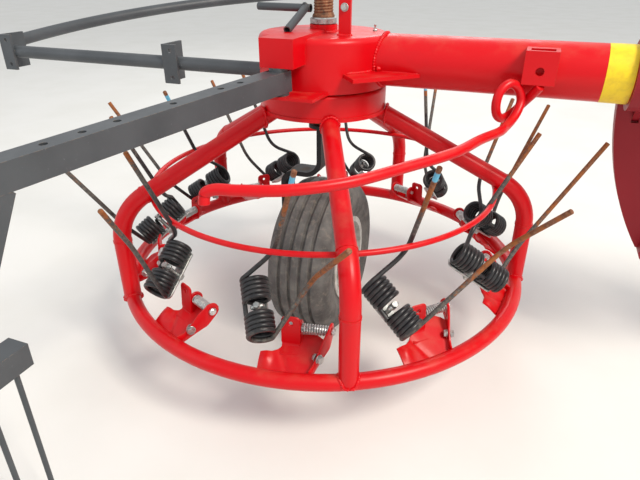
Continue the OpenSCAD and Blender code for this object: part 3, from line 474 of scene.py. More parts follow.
def to_object(piece: Piece, side: Side, finishes: dict[str, Material]) -> None:
    """Makes the Blender object of a piece, at the origin and unturned, and hands it to the frame.

    Args:
        piece: What is made.
        side: The rotor that it belongs to; the right one's is mirrored.
        finishes: The finish of each slot.
    """
    name = f"{piece.name}_{side.word}"
    body = piece.moves_with if piece.moves_with == "frame" else f"{piece.moves_with}_{side.word}"
    slot = piece.slot
    replaces = [f"{piece.stands_for}_{side.word}"] if piece.stands_for else []
    points = piece.surface.points - [HALF_SPACING, 0, 0]
    if side is Side.RIGHT:
        points[:, 0] *= -1
    mesh = bpy.data.meshes.new(name)
    mesh.from_pydata(points.tolist(), [], piece.surface.quads.tolist() + piece.surface.caps)
    mark = mesh.attributes.new("mark", "FLOAT", "POINT")
    mark.data.foreach_set("value", piece.surface.marks().astype(np.float32))
    shell = bmesh.new()
    shell.from_mesh(mesh)
    bmesh.ops.remove_doubles(shell, verts=shell.verts, dist=SAME_PLACE)
    bmesh.ops.recalc_face_normals(shell, faces=shell.faces)
    shell.to_mesh(mesh)
    shell.free()
    mesh.polygons.foreach_set("use_smooth", np.ones(len(mesh.polygons), bool))
    mesh.set_sharp_from_angle(angle=math.radians(piece.sharp))
    mesh.materials.append(finishes[piece.finish or slot])
    obj = put(name, mesh)
    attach(obj, body)
    if replaces:
        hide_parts(*replaces)
    LOG.info("%s: %d points on %s", name, len(points), body)


def dress(frame: dict[str, Any], finishes: dict[str, Material]) -> None:
    """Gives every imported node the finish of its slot, through its object's own material slots."""
    for part in frame["record"]["subparts"]:
        obj = frame["nodes"][part["node"]]
        material = finishes[part["material_slot"]]
        if not obj.material_slots:
            obj.data.materials.append(material)
        for material_slot in obj.material_slots:
            material_slot.link = "OBJECT"
            material_slot.material = material


# ---------------------------------------------------------------- finishes


def linear(hex_value: str) -> tuple[float, float, float, float]:
    """Turns an sRGB hex colour into Blender's linear one."""
    parts = [int(hex_value[i:i + 2], 16) / 255 for i in (1, 3, 5)]
    r, g, b = (c / 12.92 if c <= 0.04045 else ((c + 0.055) / 1.055) ** 2.4 for c in parts)
    return (r, g, b, 1.0)


class Graph:
    """A material's nodes, with the shader and the object's coordinates at hand."""

    def __init__(self, name: str) -> None:
        """Starts a material with one Principled shader."""
        self.material = bpy.data.materials.new(name)
        self.material.use_nodes = True
        self.tree = self.material.node_tree
        self.shader = self.tree.nodes["Principled BSDF"]
        self.place = self.add("ShaderNodeTexCoord").outputs["Object"]

    def feed(self, node: bpy.types.Node, links: dict[Any, Any]) -> None:
        """Sets or links a node's inputs: name or number to a plain value or another node's output."""
        for key, value in links.items():
            if isinstance(value, Socket):
                self.tree.links.new(value, node.inputs[key])
            else:
                node.inputs[key].default_value = value

    def add(self, kind: str, links: dict[Any, Any] | None = None, **settings: Any) -> bpy.types.Node:
        """Adds a node with its settings and links.

        Args:
            kind: The node's type.
            links: What its inputs are fed with.
            settings: The node's own properties.

        Returns:
            The node.
        """
        node = self.tree.nodes.new(kind)
        for key, value in settings.items():
            setattr(node, key, value)
        self.feed(node, links or {})
        return node

    def noise(self, size_mm: float, detail: float = 4.0, rough: float = 0.55,
              shift: float = 0.0) -> Socket:
        """A noise whose grain is about size_mm across, as a value around one half."""
        at = self.add("ShaderNodeMapping", {"Vector": self.place, "Location": (shift, shift * 1.7, -shift)})
        node = self.add("ShaderNodeTexNoise", {"Vector": at.outputs[0], "Scale": 1 / (size_mm * MM),
                                               "Detail": detail, "Roughness": rough})
        return node.outputs["Fac"]

    def ramp(self, value: Socket, low: float, high: float) -> Socket:
        """Maps a value smoothly from 0 at low to 1 at high."""
        return self.add("ShaderNodeMapRange", {"Value": value, "From Min": low, "From Max": high},
                        interpolation_type="SMOOTHSTEP").outputs[0]

    def patch(self, size_mm: float, low: float, high: float, detail: float = 4.0, rough: float = 0.55,
              shift: float = 0.0) -> Socket:
        """Patches of a noise: 0 where it is under low and 1 where it is over high."""
        return self.ramp(self.noise(size_mm, detail, rough, shift), low, high)

    def sum(self, a: Any, b: Any, how: str = "ADD", clamp: bool = True) -> Socket:
        """Combines two values by a named arithmetic."""
        return self.add("ShaderNodeMath", {0: a, 1: b}, operation=how, use_clamp=clamp).outputs[0]

    def times(self, a: Any, b: Any) -> Socket:
        """Multiplies two values and holds the result between 0 and 1."""
        return self.sum(a, b, "MULTIPLY")

    def mix(self, share: Any, a: Any, b: Any) -> Socket:
        """Mixes two colours by a share; a colour may be a hex value or a socket."""
        a, b = (linear(colour) if isinstance(colour, str) else colour for colour in (a, b))
        return self.add("ShaderNodeMix", {0: share, 6: a, 7: b}, data_type="RGBA").outputs[2]

    def edges(self, radius_mm: float) -> Socket:
        """How strongly a rounded-off normal departs from the true one: high along sharp edges."""
        soft = self.add("ShaderNodeBevel", {"Radius": radius_mm * MM}, samples=4).outputs[0]
        true = self.add("ShaderNodeNewGeometry").outputs["Normal"]
        dot = self.add("ShaderNodeVectorMath", {0: soft, 1: true}, operation="DOT_PRODUCT").outputs["Value"]
        return self.sum(1.0, dot, "SUBTRACT")

    def upward(self) -> Socket:
        """How much the surface faces up, from -1 to 1."""
        normal = self.add("ShaderNodeNewGeometry").outputs["Normal"]
        return self.add("ShaderNodeSeparateXYZ", {0: normal}).outputs[2]

    def bump(self, height: Socket, depth_mm: float,
             below: Socket | None = None) -> Socket:
        """Raises the surface by a height map of the given depth, on top of another bump."""
        links: dict[Any, Any] = {"Height": height, "Distance": depth_mm * MM, "Strength": 1.0}
        if below is not None:
            links["Normal"] = below
        return self.add("ShaderNodeBump", links).outputs[0]

    def finish(self, links: dict[str, Any]) -> Material:
        """Feeds the shader's sockets and hands the material over."""
        self.feed(self.shader, links)
        return self.material


@dataclass(frozen=True)
class WornPaint:
    """Sprayed machinery enamel over steel: a gloss coat that dulls, collects dust and chips to rust.

    Attributes:
        name: The material's name.
        colour: The sound paint.
        faded: Paint that the sun has dulled.
        chip: What shows under a chip at its middle.
        dust: Dry soil that lies on upward faces.
        edge_wear: Share of the edges that are chipped.
        chips: Threshold of the noise for chips on open faces; higher is rarer.
        gloss: Roughness of the sound paint.
        dusty: Largest share of dust.
    """

    name: str
    colour: str
    faded: str
    chip: str
    dust: str = "#b09a78"
    edge_wear: float = 0.5
    chips: float = 0.72
    gloss: float = 0.26
    dusty: float = 0.22

    def make(self) -> Material:
        """Builds the material."""
        g = Graph(self.name)
        # broad fading, 180 mm across, and finer blotches of 25 mm
        fading = g.times(g.patch(180, 0.35, 0.7, 3), g.times(g.patch(25, 0.4, 0.75, 5), 0.35))
        paint = g.mix(fading, self.colour, self.faded)
        # chips: specks of 4 mm on open faces, and broken patches of 9 mm along edges
        specks = g.patch(4, self.chips, self.chips + 0.02, 6, 0.7)
        sound = 0.25 * (1 - self.edge_wear)
        edge = g.ramp(g.edges(2.2), 0.10 + sound, 0.3 + sound)
        worn = g.sum(specks, g.times(edge, g.patch(9, 0.5, 0.56, 6, 0.65, 3.1)), "MAXIMUM")
        rust = g.mix(g.patch(3, 0.35, 0.65, 5), self.chip, "#8a5a3c")
        # dust settles on what faces up, thicker in patches of 40 mm
        lying = g.times(g.ramp(g.upward(), 0.3, 0.95), g.patch(40, 0.42, 0.72, 6, 0.6, 7.7))
        dusty = g.times(lying, self.dusty)
        rough = g.sum(g.sum(self.gloss, g.times(g.noise(30, 5), 0.16)), g.times(dusty, 1.4))
        # orange peel of the spray, then shallow dents, then the chips' step down to the steel
        dents = g.bump(g.noise(60, 2), 0.5, g.bump(g.noise(2.6, 2), 0.05))
        return g.finish({"Base Color": g.mix(worn, g.mix(dusty, paint, self.dust), rust),
                         "Roughness": g.sum(rough, g.times(worn, 0.45)),
                         "Normal": g.bump(g.sum(1.0, worn, "SUBTRACT"), 0.25, dents),
                         "IOR": 1.45, "Specular IOR Level": 0.38})


@dataclass(frozen=True)
class GreyTube:
    """Dark grey powder coat on drawn tube: dull sheen, pale scuffs, stone chips and bare edges."""

    name: str = "grey_powder_coat"

    def make(self) -> Material:
        """Builds the material."""
        g = Graph(self.name)
        coat = g.mix(g.patch(120, 0.3, 0.75, 5), "#3f4347", "#4c5054")
        coat = g.mix(g.times(g.patch(7, 0.63, 0.69, 7, 0.75), 0.55), coat, "#7d8184")
        edge = g.times(g.ramp(g.edges(2.0), 0.12, 0.3), g.patch(10, 0.5, 0.56, 6, 0.7, 5.0))
        bare = g.sum(g.patch(5, 0.735, 0.75, 4, 0.6, 2.2), g.times(edge, 0.85), "MAXIMUM")
        return g.finish({"Base Color": g.mix(bare, coat, "#8c7a66"), "IOR": 1.5,
                         "Roughness": g.sum(0.36, g.times(g.noise(20, 6), 0.2)),
                         "Normal": g.bump(g.noise(1.6, 3), 0.05, g.bump(g.noise(70, 2), 0.4))})


@dataclass(frozen=True)
class SpringWire:
    """Oil-hardened spring wire: thin black lacquer, rubbed grey and rusted towards the tips.

    The mark is 0 on the coils and grows to 1 at a leg's tip; 2 is blue paint.
    """

    name: str = "black_spring_wire"

    def make(self) -> Material:
        """Builds the material."""
        g = Graph(self.name)
        mark = g.add("ShaderNodeAttribute", attribute_name="mark").outputs["Fac"]
        lacquer = g.mix(g.patch(18, 0.35, 0.7, 6), "#26272a", "#3a3a3b")
        # the mark is 0.5 where rust gives way to wire that is only rubbed grey; noise makes that line ragged
        jag = g.sum(g.sum(g.noise(11, 6, 0.7), 0.5, "SUBTRACT", False), 0.8, "MULTIPLY", False)
        ragged = g.sum(mark, jag, "ADD", False)
        rub = g.ramp(ragged, 0.08, 0.34)
        rubbed = g.mix(g.patch(7, 0.4, 0.7, 6, 0.7, 9.0), "#4d4b49", "#77726a")
        brown = g.mix(g.patch(6, 0.4, 0.65, 5), "#6e4228", "#8a6148")
        brown = g.mix(g.times(g.patch(22, 0.42, 0.58, 4, shift=5.0), 0.8), brown, "#9c5a26")
        flecks = g.times(g.patch(5, 0.62, 0.68, 5, 0.7, 1.3), 0.4)
        sound = g.mix(g.sum(rub, flecks, "MAXIMUM"), lacquer, rubbed)
        worn = g.mix(g.ramp(ragged, 0.42, 0.56), sound, brown)
        return g.finish({"Base Color": g.mix(g.ramp(mark, 1.4, 1.6), worn, "#69b8d8"), "Metallic": 0.25,
                         "Roughness": g.sum(0.34, g.times(rub, 0.3)), "Normal": g.bump(g.noise(3, 5), 0.12)})


@dataclass(frozen=True)
class Galvanised:
    """Galvanised steel: a pale grey skin with dull spangles and some brown stain.

    Attributes:
        name: The material's name.
        dull: The darkest spangles.
        light: The lightest spangles.
        metallic: How far the skin is bare metal.
    """

    name: str = "galvanised_steel"
    dull: str = "#9fa3a3"
    light: str = "#c6c8c4"
    metallic: float = 0.75

    def make(self) -> Material:
        """Builds the material."""
        g = Graph(self.name)
        spangle = g.add("ShaderNodeTexVoronoi", {"Vector": g.place, "Scale": 1 / (6 * MM)}).outputs["Color"]
        level = g.add("ShaderNodeSeparateColor", {0: spangle}).outputs[0]
        stain = g.patch(14, 0.55, 0.75, 6, 0.7)
        skin = g.mix(g.times(stain, 0.6), g.mix(level, self.dull, self.light), "#7b6a58")
        return g.finish({"Base Color": skin, "Metallic": self.metallic, "Normal": g.bump(g.noise(4, 4), 0.08),
                         "Roughness": g.sum(0.34, g.times(stain, 0.3))})


@dataclass(frozen=True)
class Coat:
    """A skin of two mottled tones, with further colours over it in patches.

    Attributes:
        name: The material's name.
        tones: Its two colours.
        mottle: The patches of the second tone, as Graph.patch takes them.
        layers: Colour, share and patches of each colour over the tones.
        rough: Roughness, then the grain, detail and weight of the noise on it.
        metallic: How far the skin is bare metal.
        bumps: Grain, detail, roughness and depth of each bump, the coarse one first.
    """

    name: str
    tones: tuple[str, str]
    mottle: tuple[float, ...] = (25, 0.4, 0.7, 6, 0.65)
    layers: tuple[tuple[str, float, tuple[float, ...]], ...] = ()
    rough: tuple[float, float, float, float] = (0.5, 12, 5, 0.15)
    metallic: float = 0.0
    bumps: tuple[tuple[float, float, float, float], ...] = ((1.4, 3, 0.55, 0.06),)

    def make(self) -> Material:
        """Builds the material."""
        g = Graph(self.name)
        skin = g.mix(g.patch(*self.mottle), *self.tones)
        for colour, share, patches in self.layers:
            skin = g.mix(g.times(g.patch(*patches), share), skin, colour)
        base, grain, detail, weight = self.rough
        links = {"Base Color": skin, "Metallic": self.metallic,
                 "Roughness": g.sum(base, g.times(g.noise(grain, detail), weight))}
        for size, fine, coarse, depth in self.bumps:
            links["Normal"] = g.bump(g.noise(size, fine, coarse), depth, links.get("Normal"))
        return g.finish(links)


def all_finishes() -> dict[str, Material]:
    """Makes every finish once.

    Returns:
        The materials, by the record's slot or, for a piece that has its own, by a name.
    """
    makers: dict[str, Any] = {
        "red_paint": WornPaint("red_machine_enamel", "#cc000e", "#bd0a14", "#9a4a3a", dusty=0.10),
        # the red enamel made darker as painted shade: stands in for the shadow that these parts stood in, not
        # a paint of their own
        "dark_red_paint": WornPaint("dark_red_enamel", "#8e1220", "#7a1a22", "#6d4b3c",
                                    edge_wear=0.7, gloss=0.4),
        "grey_paint": GreyTube(),
        "black_paint": WornPaint("black_enamel", "#1d1e20", "#2a2a2b", "#5a4434", gloss=0.4, dusty=0.3),
        "tine_steel": SpringWire(),
        "zinc": Galvanised(),
        "bright_zinc": Galvanised("bright_zinc_wire", "#b9bcbc", "#dfe0dd", 0.85),
        # bare forged steel with a thin, dry film of brown rust and some oil-dark patches
        "bare_steel": Coat("rusted_bare_steel", ("#6b4a33", "#94694a"), (9, 0.35, 0.65, 7, 0.65),
                           (("#4a3b31", 1.0, (30, 0.5, 0.7, 5, 0.55, 4.0)),), (0.5, 5, 5, 0.3), 0.35,
                           ((2.2, 6, 0.7, 0.2),)),
        # old carbon-black rubber gone grey, with dried soil on it and fine cracks
        "tyre_rubber": Coat("weathered_tyre_rubber", ("#4b4a49", "#6f6e6b"), (50, 0.3, 0.7, 6),
                            (("#8b8479", 0.5, (16, 0.5, 0.7, 7, 0.7, 2.0)),
                             ("#2f2e2d", 0.5, (3.5, 0.6, 0.7, 7, 0.75))),
                            (0.82, 12, 5, 0.0), 0.0, ((20, 4, 0.55, 0.5), (2.5, 6, 0.7, 0.3))),
        "rim_paint": Coat("pale_rim_paint", ("#c3c4c0", "#9b9a92"), rough=(0.45, 12, 5, 0.15)),
        "guard_plastic": Coat("black_guard_plastic", ("#17181a", "#242526"), rough=(0.42, 12, 5, 0.15)),
        "yellow_film": Coat("yellow_film", ("#f2d21c", "#dcbc22"), rough=(0.35, 12, 5, 0.15)),
    }
    return {slot: maker.make() for slot, maker in makers.items()}


# ---------------------------------------------------------------- sub-assemblies


@dataclass(frozen=True)
class CoilSeat:
    """Where a tine's coils and their clamp lie: their axis runs outward, down and along the ring.

    Each direction is out from the rotor's axis, along the ring and up; lengths are metres.
    """

    middle: tuple[float, float, float] = (0.4295, -0.002, 0.302)
    axis: tuple[float, float, float] = (0.720, 0.409, -0.561)
    across: tuple[float, float, float] = (-0.361, 0.911, 0.201)

    def basis(self) -> Array:
        """The seat's three directions: along the coils, across them, and out of the clamp."""
        x = unit(self.axis)
        y = unit(np.array(self.across) - x * (x @ np.array(self.across)))
        return np.stack([x, y, np.cross(x, y)])

    def inside(self, point: Point) -> Array:
        """A point of the tine's frame in millimetres, given in the seat's own frame in metres."""
        return self.basis() @ (np.array(point) * MM - np.array(self.middle))


@dataclass(frozen=True)
class Leg:
    """A tine leg: its bend and its tip in millimetres (out, along, up), and how much of it is rusty."""

    bend: tuple[float, float, float]
    tip: tuple[float, float, float]
    rust: float


@dataclass
class Tines:
    """Double spring tines: two helical coils in one line, an inner leg and a longer outer leg.

    Use has bent the legs a little differently on each tine, so the odd ones have their own row.
    """

    wire: float = 0.005
    coil_r: float = 0.0252
    turns: int = 6
    # share of the wire's width that a turn moves on
    packing: float = 0.985
    gap: float = 0.0150
    bend_r: float = 0.034
    first: float = -86.0
    count: int = 10
    # spread in millimetres of the bends and tips that have no row of their own
    sway: float = 3.0
    # lengths of the legs, and over how much of them rubbed grey follows the rust
    leg_in: float = 0.240
    leg_out: float = 0.280
    rubbed_in: float = 0.13
    rubbed_out: float = 0.34
    # the inner leg's blue band, from its tip, and the tines that have kept it
    band: tuple[float, float] = (0.014, 0.028)
    banded: tuple[int, ...] = (0, 1, 4, 5, 7)
    seat: CoilSeat = CoilSeat()
    # number of the tine to its inner leg
    inner: dict[int, Leg] = field(default_factory=lambda: {
        0: Leg((390, 21, 410), (466, 95, 610), 0.50), 1: Leg((389, 41, 397), (482, 40, 606), 0.45),
        2: Leg((390, 35, 373), (477, 114, 588), 0.42), 3: Leg((410, 40, 387), (506, 147, 584), 0.62),
        4: Leg((408, 21, 364), (430, 78, 602), 0.10), 7: Leg((414, 43, 412), (404, 140, 610), 0.16),
        9: Leg((411, 31, 396), (506, 89, 608), 0.08)})
    # number of the tine to its outer leg
    outer: dict[int, Leg] = field(default_factory=lambda: {
        0: Leg((435, 115, 392), (568, 215, 536), 0.85), 1: Leg((490, 193, 432), (576, 245, 537), 0.80),
        2: Leg((476, 98, 321), (600, 181, 572), 0.72), 3: Leg((494, 98, 325), (622, 186, 558), 0.85),
        9: Leg((512, 50, 400), (578, 136, 531), 0.06)})
    usual_inner: Leg = Leg((400, 38, 388), (474, 98, 602), 0.08)
    usual_outer: Leg = Leg((483, 102, 330), (600, 184, 566), 0.16)

    def leave(self, target: Array, sign: float) -> float:
        """Angle at which a straight leg leaves the coil towards a point, tangent to the coil's circle."""
        reach = math.hypot(target[1], target[2])
        return math.atan2(target[2], target[1]) - sign * math.asin(min(1.0, self.coil_r / reach))

    def leg(self, root: Array, shape: Leg, shift: Array) -> Array:
        """Centre line of a leg from the coil to its tip, with short steps for the finish to follow."""
        bend, tip = self.seat.inside(shape.bend), self.seat.inside(np.array(shape.tip) + shift)
        line = bend_corners([root, bend, tip], self.bend_r, 9)[1:]
        run = root + np.linspace(0.06, 0.7, 4)[:, None] * (line[0] - root)
        end = line[-2] + np.linspace(0.1, 1, 9)[:, None] * (line[-1] - line[-2])
        return np.vstack([run, line[:-1], end])

    def coil(self, x: Array, a: Array) -> Array:
        """Points of a coil at places along the seat's X and at angles about it."""
        return np.stack([x, -self.coil_r * np.sin(a), self.coil_r * np.cos(a)], 1)

    def wear(self, run: Array, inner: Leg, outer: Leg, banded: bool) -> Array:
        """The finish's mark along a tine: 1 at a tip, 0.5 where rust ends, 0 on the coils, 2 on a band.

        Args:
            run: Distance along the wire from the inner leg's tip.
            inner: The inner leg.
            outer: The outer leg.
            banded: Whether the inner leg has kept its band.

        Returns:
            The mark at each distance.
        """
        from_tip = np.minimum(run, run.max() - run)
        on_outer = run > run.max() / 2
        rusty = np.where(on_outer, outer.rust * self.leg_out, inner.rust * self.leg_in)
        rubbed = np.where(on_outer, self.rubbed_out, self.rubbed_in)
        fading = 0.5 - 0.5 * (from_tip - rusty) / rubbed
        mark = np.clip(np.where(from_tip < rusty, 1 - 0.5 * from_tip / rusty, fading), 0, 1)
        mark[(from_tip > self.band[0]) & (from_tip < self.band[1]) & ~on_outer & banded] = 2.0
        return mark

    def one(self, number: int) -> Surface:
        """One tine as a single wire: leg, coil, bridge, coil, leg.

        Each coil is a helix about the seat's X, tangent to its leg at one end and to the bridge,
        a quarter turn round, at the other.

        Args:
            number: The tine's place round the rotor, which sets its legs.

        Returns:
            The tine in its own frame, its mark growing towards each tip.
        """
        sway = np.random.default_rng(40 + number).normal(0, self.sway, (2, 3))
        inner, outer = self.inner.get(number, self.usual_inner), self.outer.get(number, self.usual_outer)
        start = self.gap / 2 + self.wire
        length = (self.turns - 1) * 2 * self.wire * self.packing
        leave_in = self.leave(self.seat.inside(inner.bend), 1)
        leave_out = math.pi + self.leave(self.seat.inside(outer.bend), -1)
        bridge, whole = math.pi / 2, 2 * math.pi * (self.turns - 1)
        t = np.linspace(0, 1, 26 * self.turns)
        back = t[::-1]
        coil_in = self.coil(t * length - start - length, leave_in + t * (whole + bridge - leave_in))
        coil_out = self.coil(start + length - back * length, leave_out - back * (whole + leave_out - bridge))
        leg_in = self.leg(coil_in[0], inner, sway[0] * (number not in self.inner))
        leg_out = self.leg(coil_out[-1], outer, sway[1] * (number not in self.outer))
        wire = rod(np.vstack([leg_in[::-1], coil_in, coil_out, leg_out]), self.wire, 10, ref=(1, 0, 0))
        wire.mark = self.wear(wire.mark, inner, outer, number in self.banded)
        wire.points = wire.points @ self.seat.basis() + np.array(self.seat.middle)
        return wire

    def pieces(self) -> list[Piece]:
        """All the tines of one rotor as one piece."""
        ring = spread([self.one(n) for n in range(self.count)], self.first)
        return [Piece("spring_tines", ring, "rotor", "tine_steel", "tines")]


@dataclass
class CropRod:
    """Red rod from the beam's lug with one open turn, sweeping over the rotor's rear."""

    radius: float = 0.0088

    @staticmethod
    def path() -> Array:
        """The rod's centre line: a lead down from the lug, one open turn behind it, and the long sweep."""
        lead = np.array([[474, -84, 698.5], [462, -72, 680], [448, -58, 660], [432, -62, 641]]) * MM
        eye = np.array([[415, -84, 632], [404, -106, 643], [400, -114, 666], [404, -108, 688],
                        [418, -94, 701], [434, -80, 692], [443, -76, 669], [440, -90, 649],
                        [432, -112, 635]]) * MM
        sweep = np.array([[424, -145, 630], [417, -185, 631], [392, -260, 635], [362, -352, 636],
                          [300, -438, 631], [240, -515, 627], [168, -565, 623], [100, -588, 621],
                          [66, -594, 620], [50, -597, 614], [47, -599, 604], [47, -600, 596]]) * MM
        return smooth_path(np.vstack([lead, eye, sweep]), 8)

    def pieces(self) -> list[Piece]:
        """The rod of one side."""
        return [Piece("crop_guide_rod", rod(self.path(), self.radius, 20), "frame", "red_paint", "crop_rod")]


@dataclass
class Holders:
    """Pressed tine holders on the rotor ring, each with its welds, latch spring, clamp and bolts.

    Metres in a holder's own frame: X out from the rotor's axis, Y along the ring.
    """

    count: int = 10
    # angles of the first holder and the first clamp, and the web's slope
    first: float = -79.5
    clamp_first: float = -86.0
    rise: float = 34.0
    # the web's edge on the ring, and that edge's height above and below its middle
    ring_in: float = 0.4825
    ring_top: float = 0.186
    half_web: float = 0.0036
    # thickness of the web and of the walls, and of the folded lug
    web_sheet: float = 0.005
    wall_sheet: float = 0.0045
    # the latch pin: radius and height of its axis, the wall and the ear that it runs between
    latch: tuple[float, float] = (0.413, 0.254)
    wall_at: float = 0.035
    ear_at: float = 0.092
    # how far below the coils' axis the clamp's bar lies
    bar_at: float = -0.0354
    seat: CoilSeat = CoilSeat()

    def web_height(self, rho: Array) -> Array:
        """Height of the web's middle at a radius: it rises inward from the ring by a fixed slope."""
        return self.ring_top + (self.ring_in - rho) * math.tan(math.radians(self.rise)) - self.half_web

    def web(self) -> Surface:
        """Pressed web: a sloping sheet over (across, inward) with a domed pad, a crease and a raised side."""
        u = np.linspace(0, 1, 40)[:, None]
        v = np.linspace(0, 1, 18)[None, :]
        inner_edge = np.array([444, 442, 437, 425, 411, 406, 405, 414, 428]) * MM
        top = np.interp(u, [0, 0.17, 0.24, 0.34, 0.5, 0.58, 0.8, 0.93, 1], inner_edge)
        rho = self.ring_in + v * (top - self.ring_in)
        # along the ring it starts at one place and is wider at the inner edge than at the ring
        start, wide_at_ring, wide_inside = -0.045, 0.109, 0.139
        low, high = start + wide_at_ring * u, start + wide_inside * u
        y = low + v * (high - low)
        dome, dome_rho, dome_y = 0.008, (rho - 0.459) / 0.014, (y + 0.031) / 0.011
        crease, from_crease = 0.003, (y - rho * 0.6 + 0.268) / 0.006
        raised, up_the_side = 0.007, np.clip((u - 0.9) / 0.1, 0, 1)
        z = self.web_height(rho)
        z = z + dome * np.exp(-(dome_rho**2) - dome_y**2)
        z = z - crease * np.exp(-(from_crease**2)) + raised * up_the_side**2
        return sheet(np.stack([rho, y, z + 0 * rho], -1), self.web_sheet)

    def lug(self) -> list[Surface]:
        """Folded lug: a front with a hole, its side wall with the latch pin's eye, and the curved neck."""
        front = holed(rounded_box(0.040, 0.068, 0.010, 6), (0, 0.019), 0.004, self.web_sheet, 0.0016)
        front = front.placed((0.4225, 0.015, 0.252), (0, 1, 0), (-0.06, 0, 1))
        eye_rim = arc(0.017, 40, 184, 13) + self.latch
        outline = np.vstack([[[0.427, 0.216], [0.427, 0.262]], eye_rim, [[0.401, 0.238], [0.404, 0.226]]])
        side = plate(outline, self.web_sheet, 0.0012).placed((0, self.wall_at, 0), (1, 0, 0), (0, 0, 1))
        # the neck bends a quarter turn up from the web at its foot to the front
        foot, depth, height = 0.447, 0.0205, 0.020
        turn = np.linspace(0, np.pi / 2, 8)[:, None]
        y = np.linspace(-0.004, 0.034, 14)[None, :]
        x = foot - depth * np.sin(turn)
        z = self.web_height(np.array(foot)) + 0.002 + height * (1 - np.cos(turn))
        neck = sheet(np.stack(np.broadcast_arrays(x, y, z), -1), self.wall_sheet)
        return [front, side, neck]

    def flange(self) -> Surface:
        """Upright flange in an S-curve from the ring to the ear, as a sheet over (along, up)."""
        corners = [[484, 62], [470, 68], [452, 77], [436, 86], [424, 92], [410, 94.5], [395.5, 95]]
        plan = smooth_path(np.array(corners) * MM, 6)
        rho = plan[:, 0]
        # radius and height along its top and its foot
        top, foot = (np.interp(rho, np.array(at) * MM, np.array(height) * MM) for at, height in (
            ([395, 399, 405, 413, 421, 427, 440, 452, 470, 484],
             [256, 265, 270, 272, 270, 264, 251, 231, 210, 205]),
            ([395, 399, 405, 413, 425, 436, 452, 470, 484], [252, 243, 238, 231, 219, 212, 201, 189, 181])))
        v = np.linspace(0, 1, 9)[None, :]
        z = foot[:, None] + v * (top - foot)[:, None]
        # pressed out a little between top and foot, fading out towards the ear
        lean = 0.003 * np.sin(v * np.pi) * np.clip((rho[:, None] - 0.42) / 0.05, 0, 1)
        return sheet(np.stack([rho[:, None] + 0 * v, plan[:, 1:2] + lean, z], -1), self.wall_sheet)

    def seams(self, number: int) -> list[Surface]:
        """Weld beads where the web and the flange meet the ring."""
        foot = np.array([[484, 60, 190], [484, 64, 197], [485, 65, 204]]) * MM
        web = level(arc(0.4835, -5.4, 7.6, 24), 0.1885)
        return [weld(web, 0.0032, 10 + number), weld(foot, 0.003, 30 + number)]

    def spring(self) -> Surface:
        """Latch spring: a helix about its pin whose last turn ends in a straight tail down to the web."""
        coil = helix(0.0092, 0.0053, 10, 18)
        tail = coil[-1] + np.array([[0.0002, 0, 0.006], [0.0003, 0, 0.013], [0.0003, 0, 0.019]])
        wire = rod(np.vstack([coil, tail]), 0.0019, 8, ref=(1, 0.02, 0.01))
        x, z = self.latch
        return wire.placed((x, self.wall_at + 0.0022, z), (0, 1, 0), (1, 0, 0))

    def pin(self) -> Surface:
        """Latch pin with a rounded head beyond the ear and a washer at each end of the spring."""
        x, z = self.latch
        behind, beyond = 0.013, 0.008
        shank = rod(np.array([[x, self.wall_at - behind, z], [x, self.ear_at + beyond, z]]), 0.005, 16)
        head = np.array([[0, 0], [8, 0], [8.6, 1.2], [8.2, 4.5], [6.0, 6.6], [0.001, 7.2]]) * MM
        cap = stand_on(lathe(head, 24, closed=False), (x, self.ear_at + 0.0052, z), (0, 1, 0))
        rings = [stand_on(washer(0.0105, 0.005, 0.0012), (x, y, z), (0, 1, 0))
                 for y in (self.wall_at + 0.0004, self.ear_at - 0.0016)]
        return joined([shank, cap, *rings])

    def bolts(self) -> Surface:
        """Bolt through the flange: its head outside and a nut inside."""
        head = stand_on(bolt(0.015, 0.0065, 0.010), (0.4565, 0.0775, 0.2165), (0.47, 0.88, 0), 0.3)
        nut = stand_on(bolt(0.013, 0.0055, 0.009), (0.4535, 0.0725, 0.2165), (-0.47, -0.88, 0), 0.8)
        return joined([head, nut])

    def clamp(self, number: int) -> Surface:
        """Tine clamp: a rounded bar under the coils, a through bolt, a domed washer between them and nuts."""
        bar_length, bar_width, bar_corner, bar_thick = 0.120, 0.030, 0.009, 0.005
        bolt_foot, bolt_top, squeeze = -0.0500, 0.0125, 0.46
        bar = plate(rounded_box(bar_length, bar_width, bar_corner, 6), bar_thick, 0.001)
        bar = bar.moved((0, 0, self.bar_at))
        shank = rod(np.array([[0, 0, bolt_foot], [0, 0, bolt_top]]), 0.005, 16)
        dome = np.array([[5.2, 0], [14.2, 0], [15, 1.4], [14.4, 4.2], [11, 7.4], [5.2, 8.6]]) * MM
        cup = lathe(dome, 32).moved((0, 0, 0.0020))
        # the washer is pressed narrow so that it lies between the two coils
        cup.points[:, 0] *= squeeze
        # each bolt was tightened to a turn of its own
        spin = 0.4 + 0.9 * number
        head = stand_on(hexagon(0.0125, 0.0065), (0, 0, 0.0100), (0, 0, 1), spin)
        nut = stand_on(bolt(0.019, 0.008, 0.013), (0, 0, self.bar_at), (0, 0, -1), spin + 0.7)
        x, y = self.seat.basis()[:2]
        return joined([bar, shank, cup, head, nut]).placed(self.seat.middle, x, y)

    def pieces(self) -> list[Piece]:
        """One rotor's holders, welds, latches, bolts and clamps."""
        shell = joined([self.web(), *self.lug(), self.flange()])
        latch = joined([self.spring(), self.pin()])
        seams = [joined(self.seams(n)) for n in range(self.count)]
        clamps = [self.clamp(n) for n in range(self.count)]
        shells, latches, bolts = (spread([part] * self.count, self.first)
                                  for part in (shell, latch, self.bolts()))
        return [Piece("tine_holders", shells, "rotor", "red_paint", "tine_brackets"),
                Piece("holder_welds", spread(seams, self.first), "rotor", "red_paint"),
                Piece("latches", latches, "rotor", "zinc", "latch_springs", "bright_zinc"),
                Piece("holder_bolts", bolts, "rotor", "zinc"),
                Piece("clamps", spread(clamps, self.clamp_first), "rotor", "zinc", "tine_clamps")]


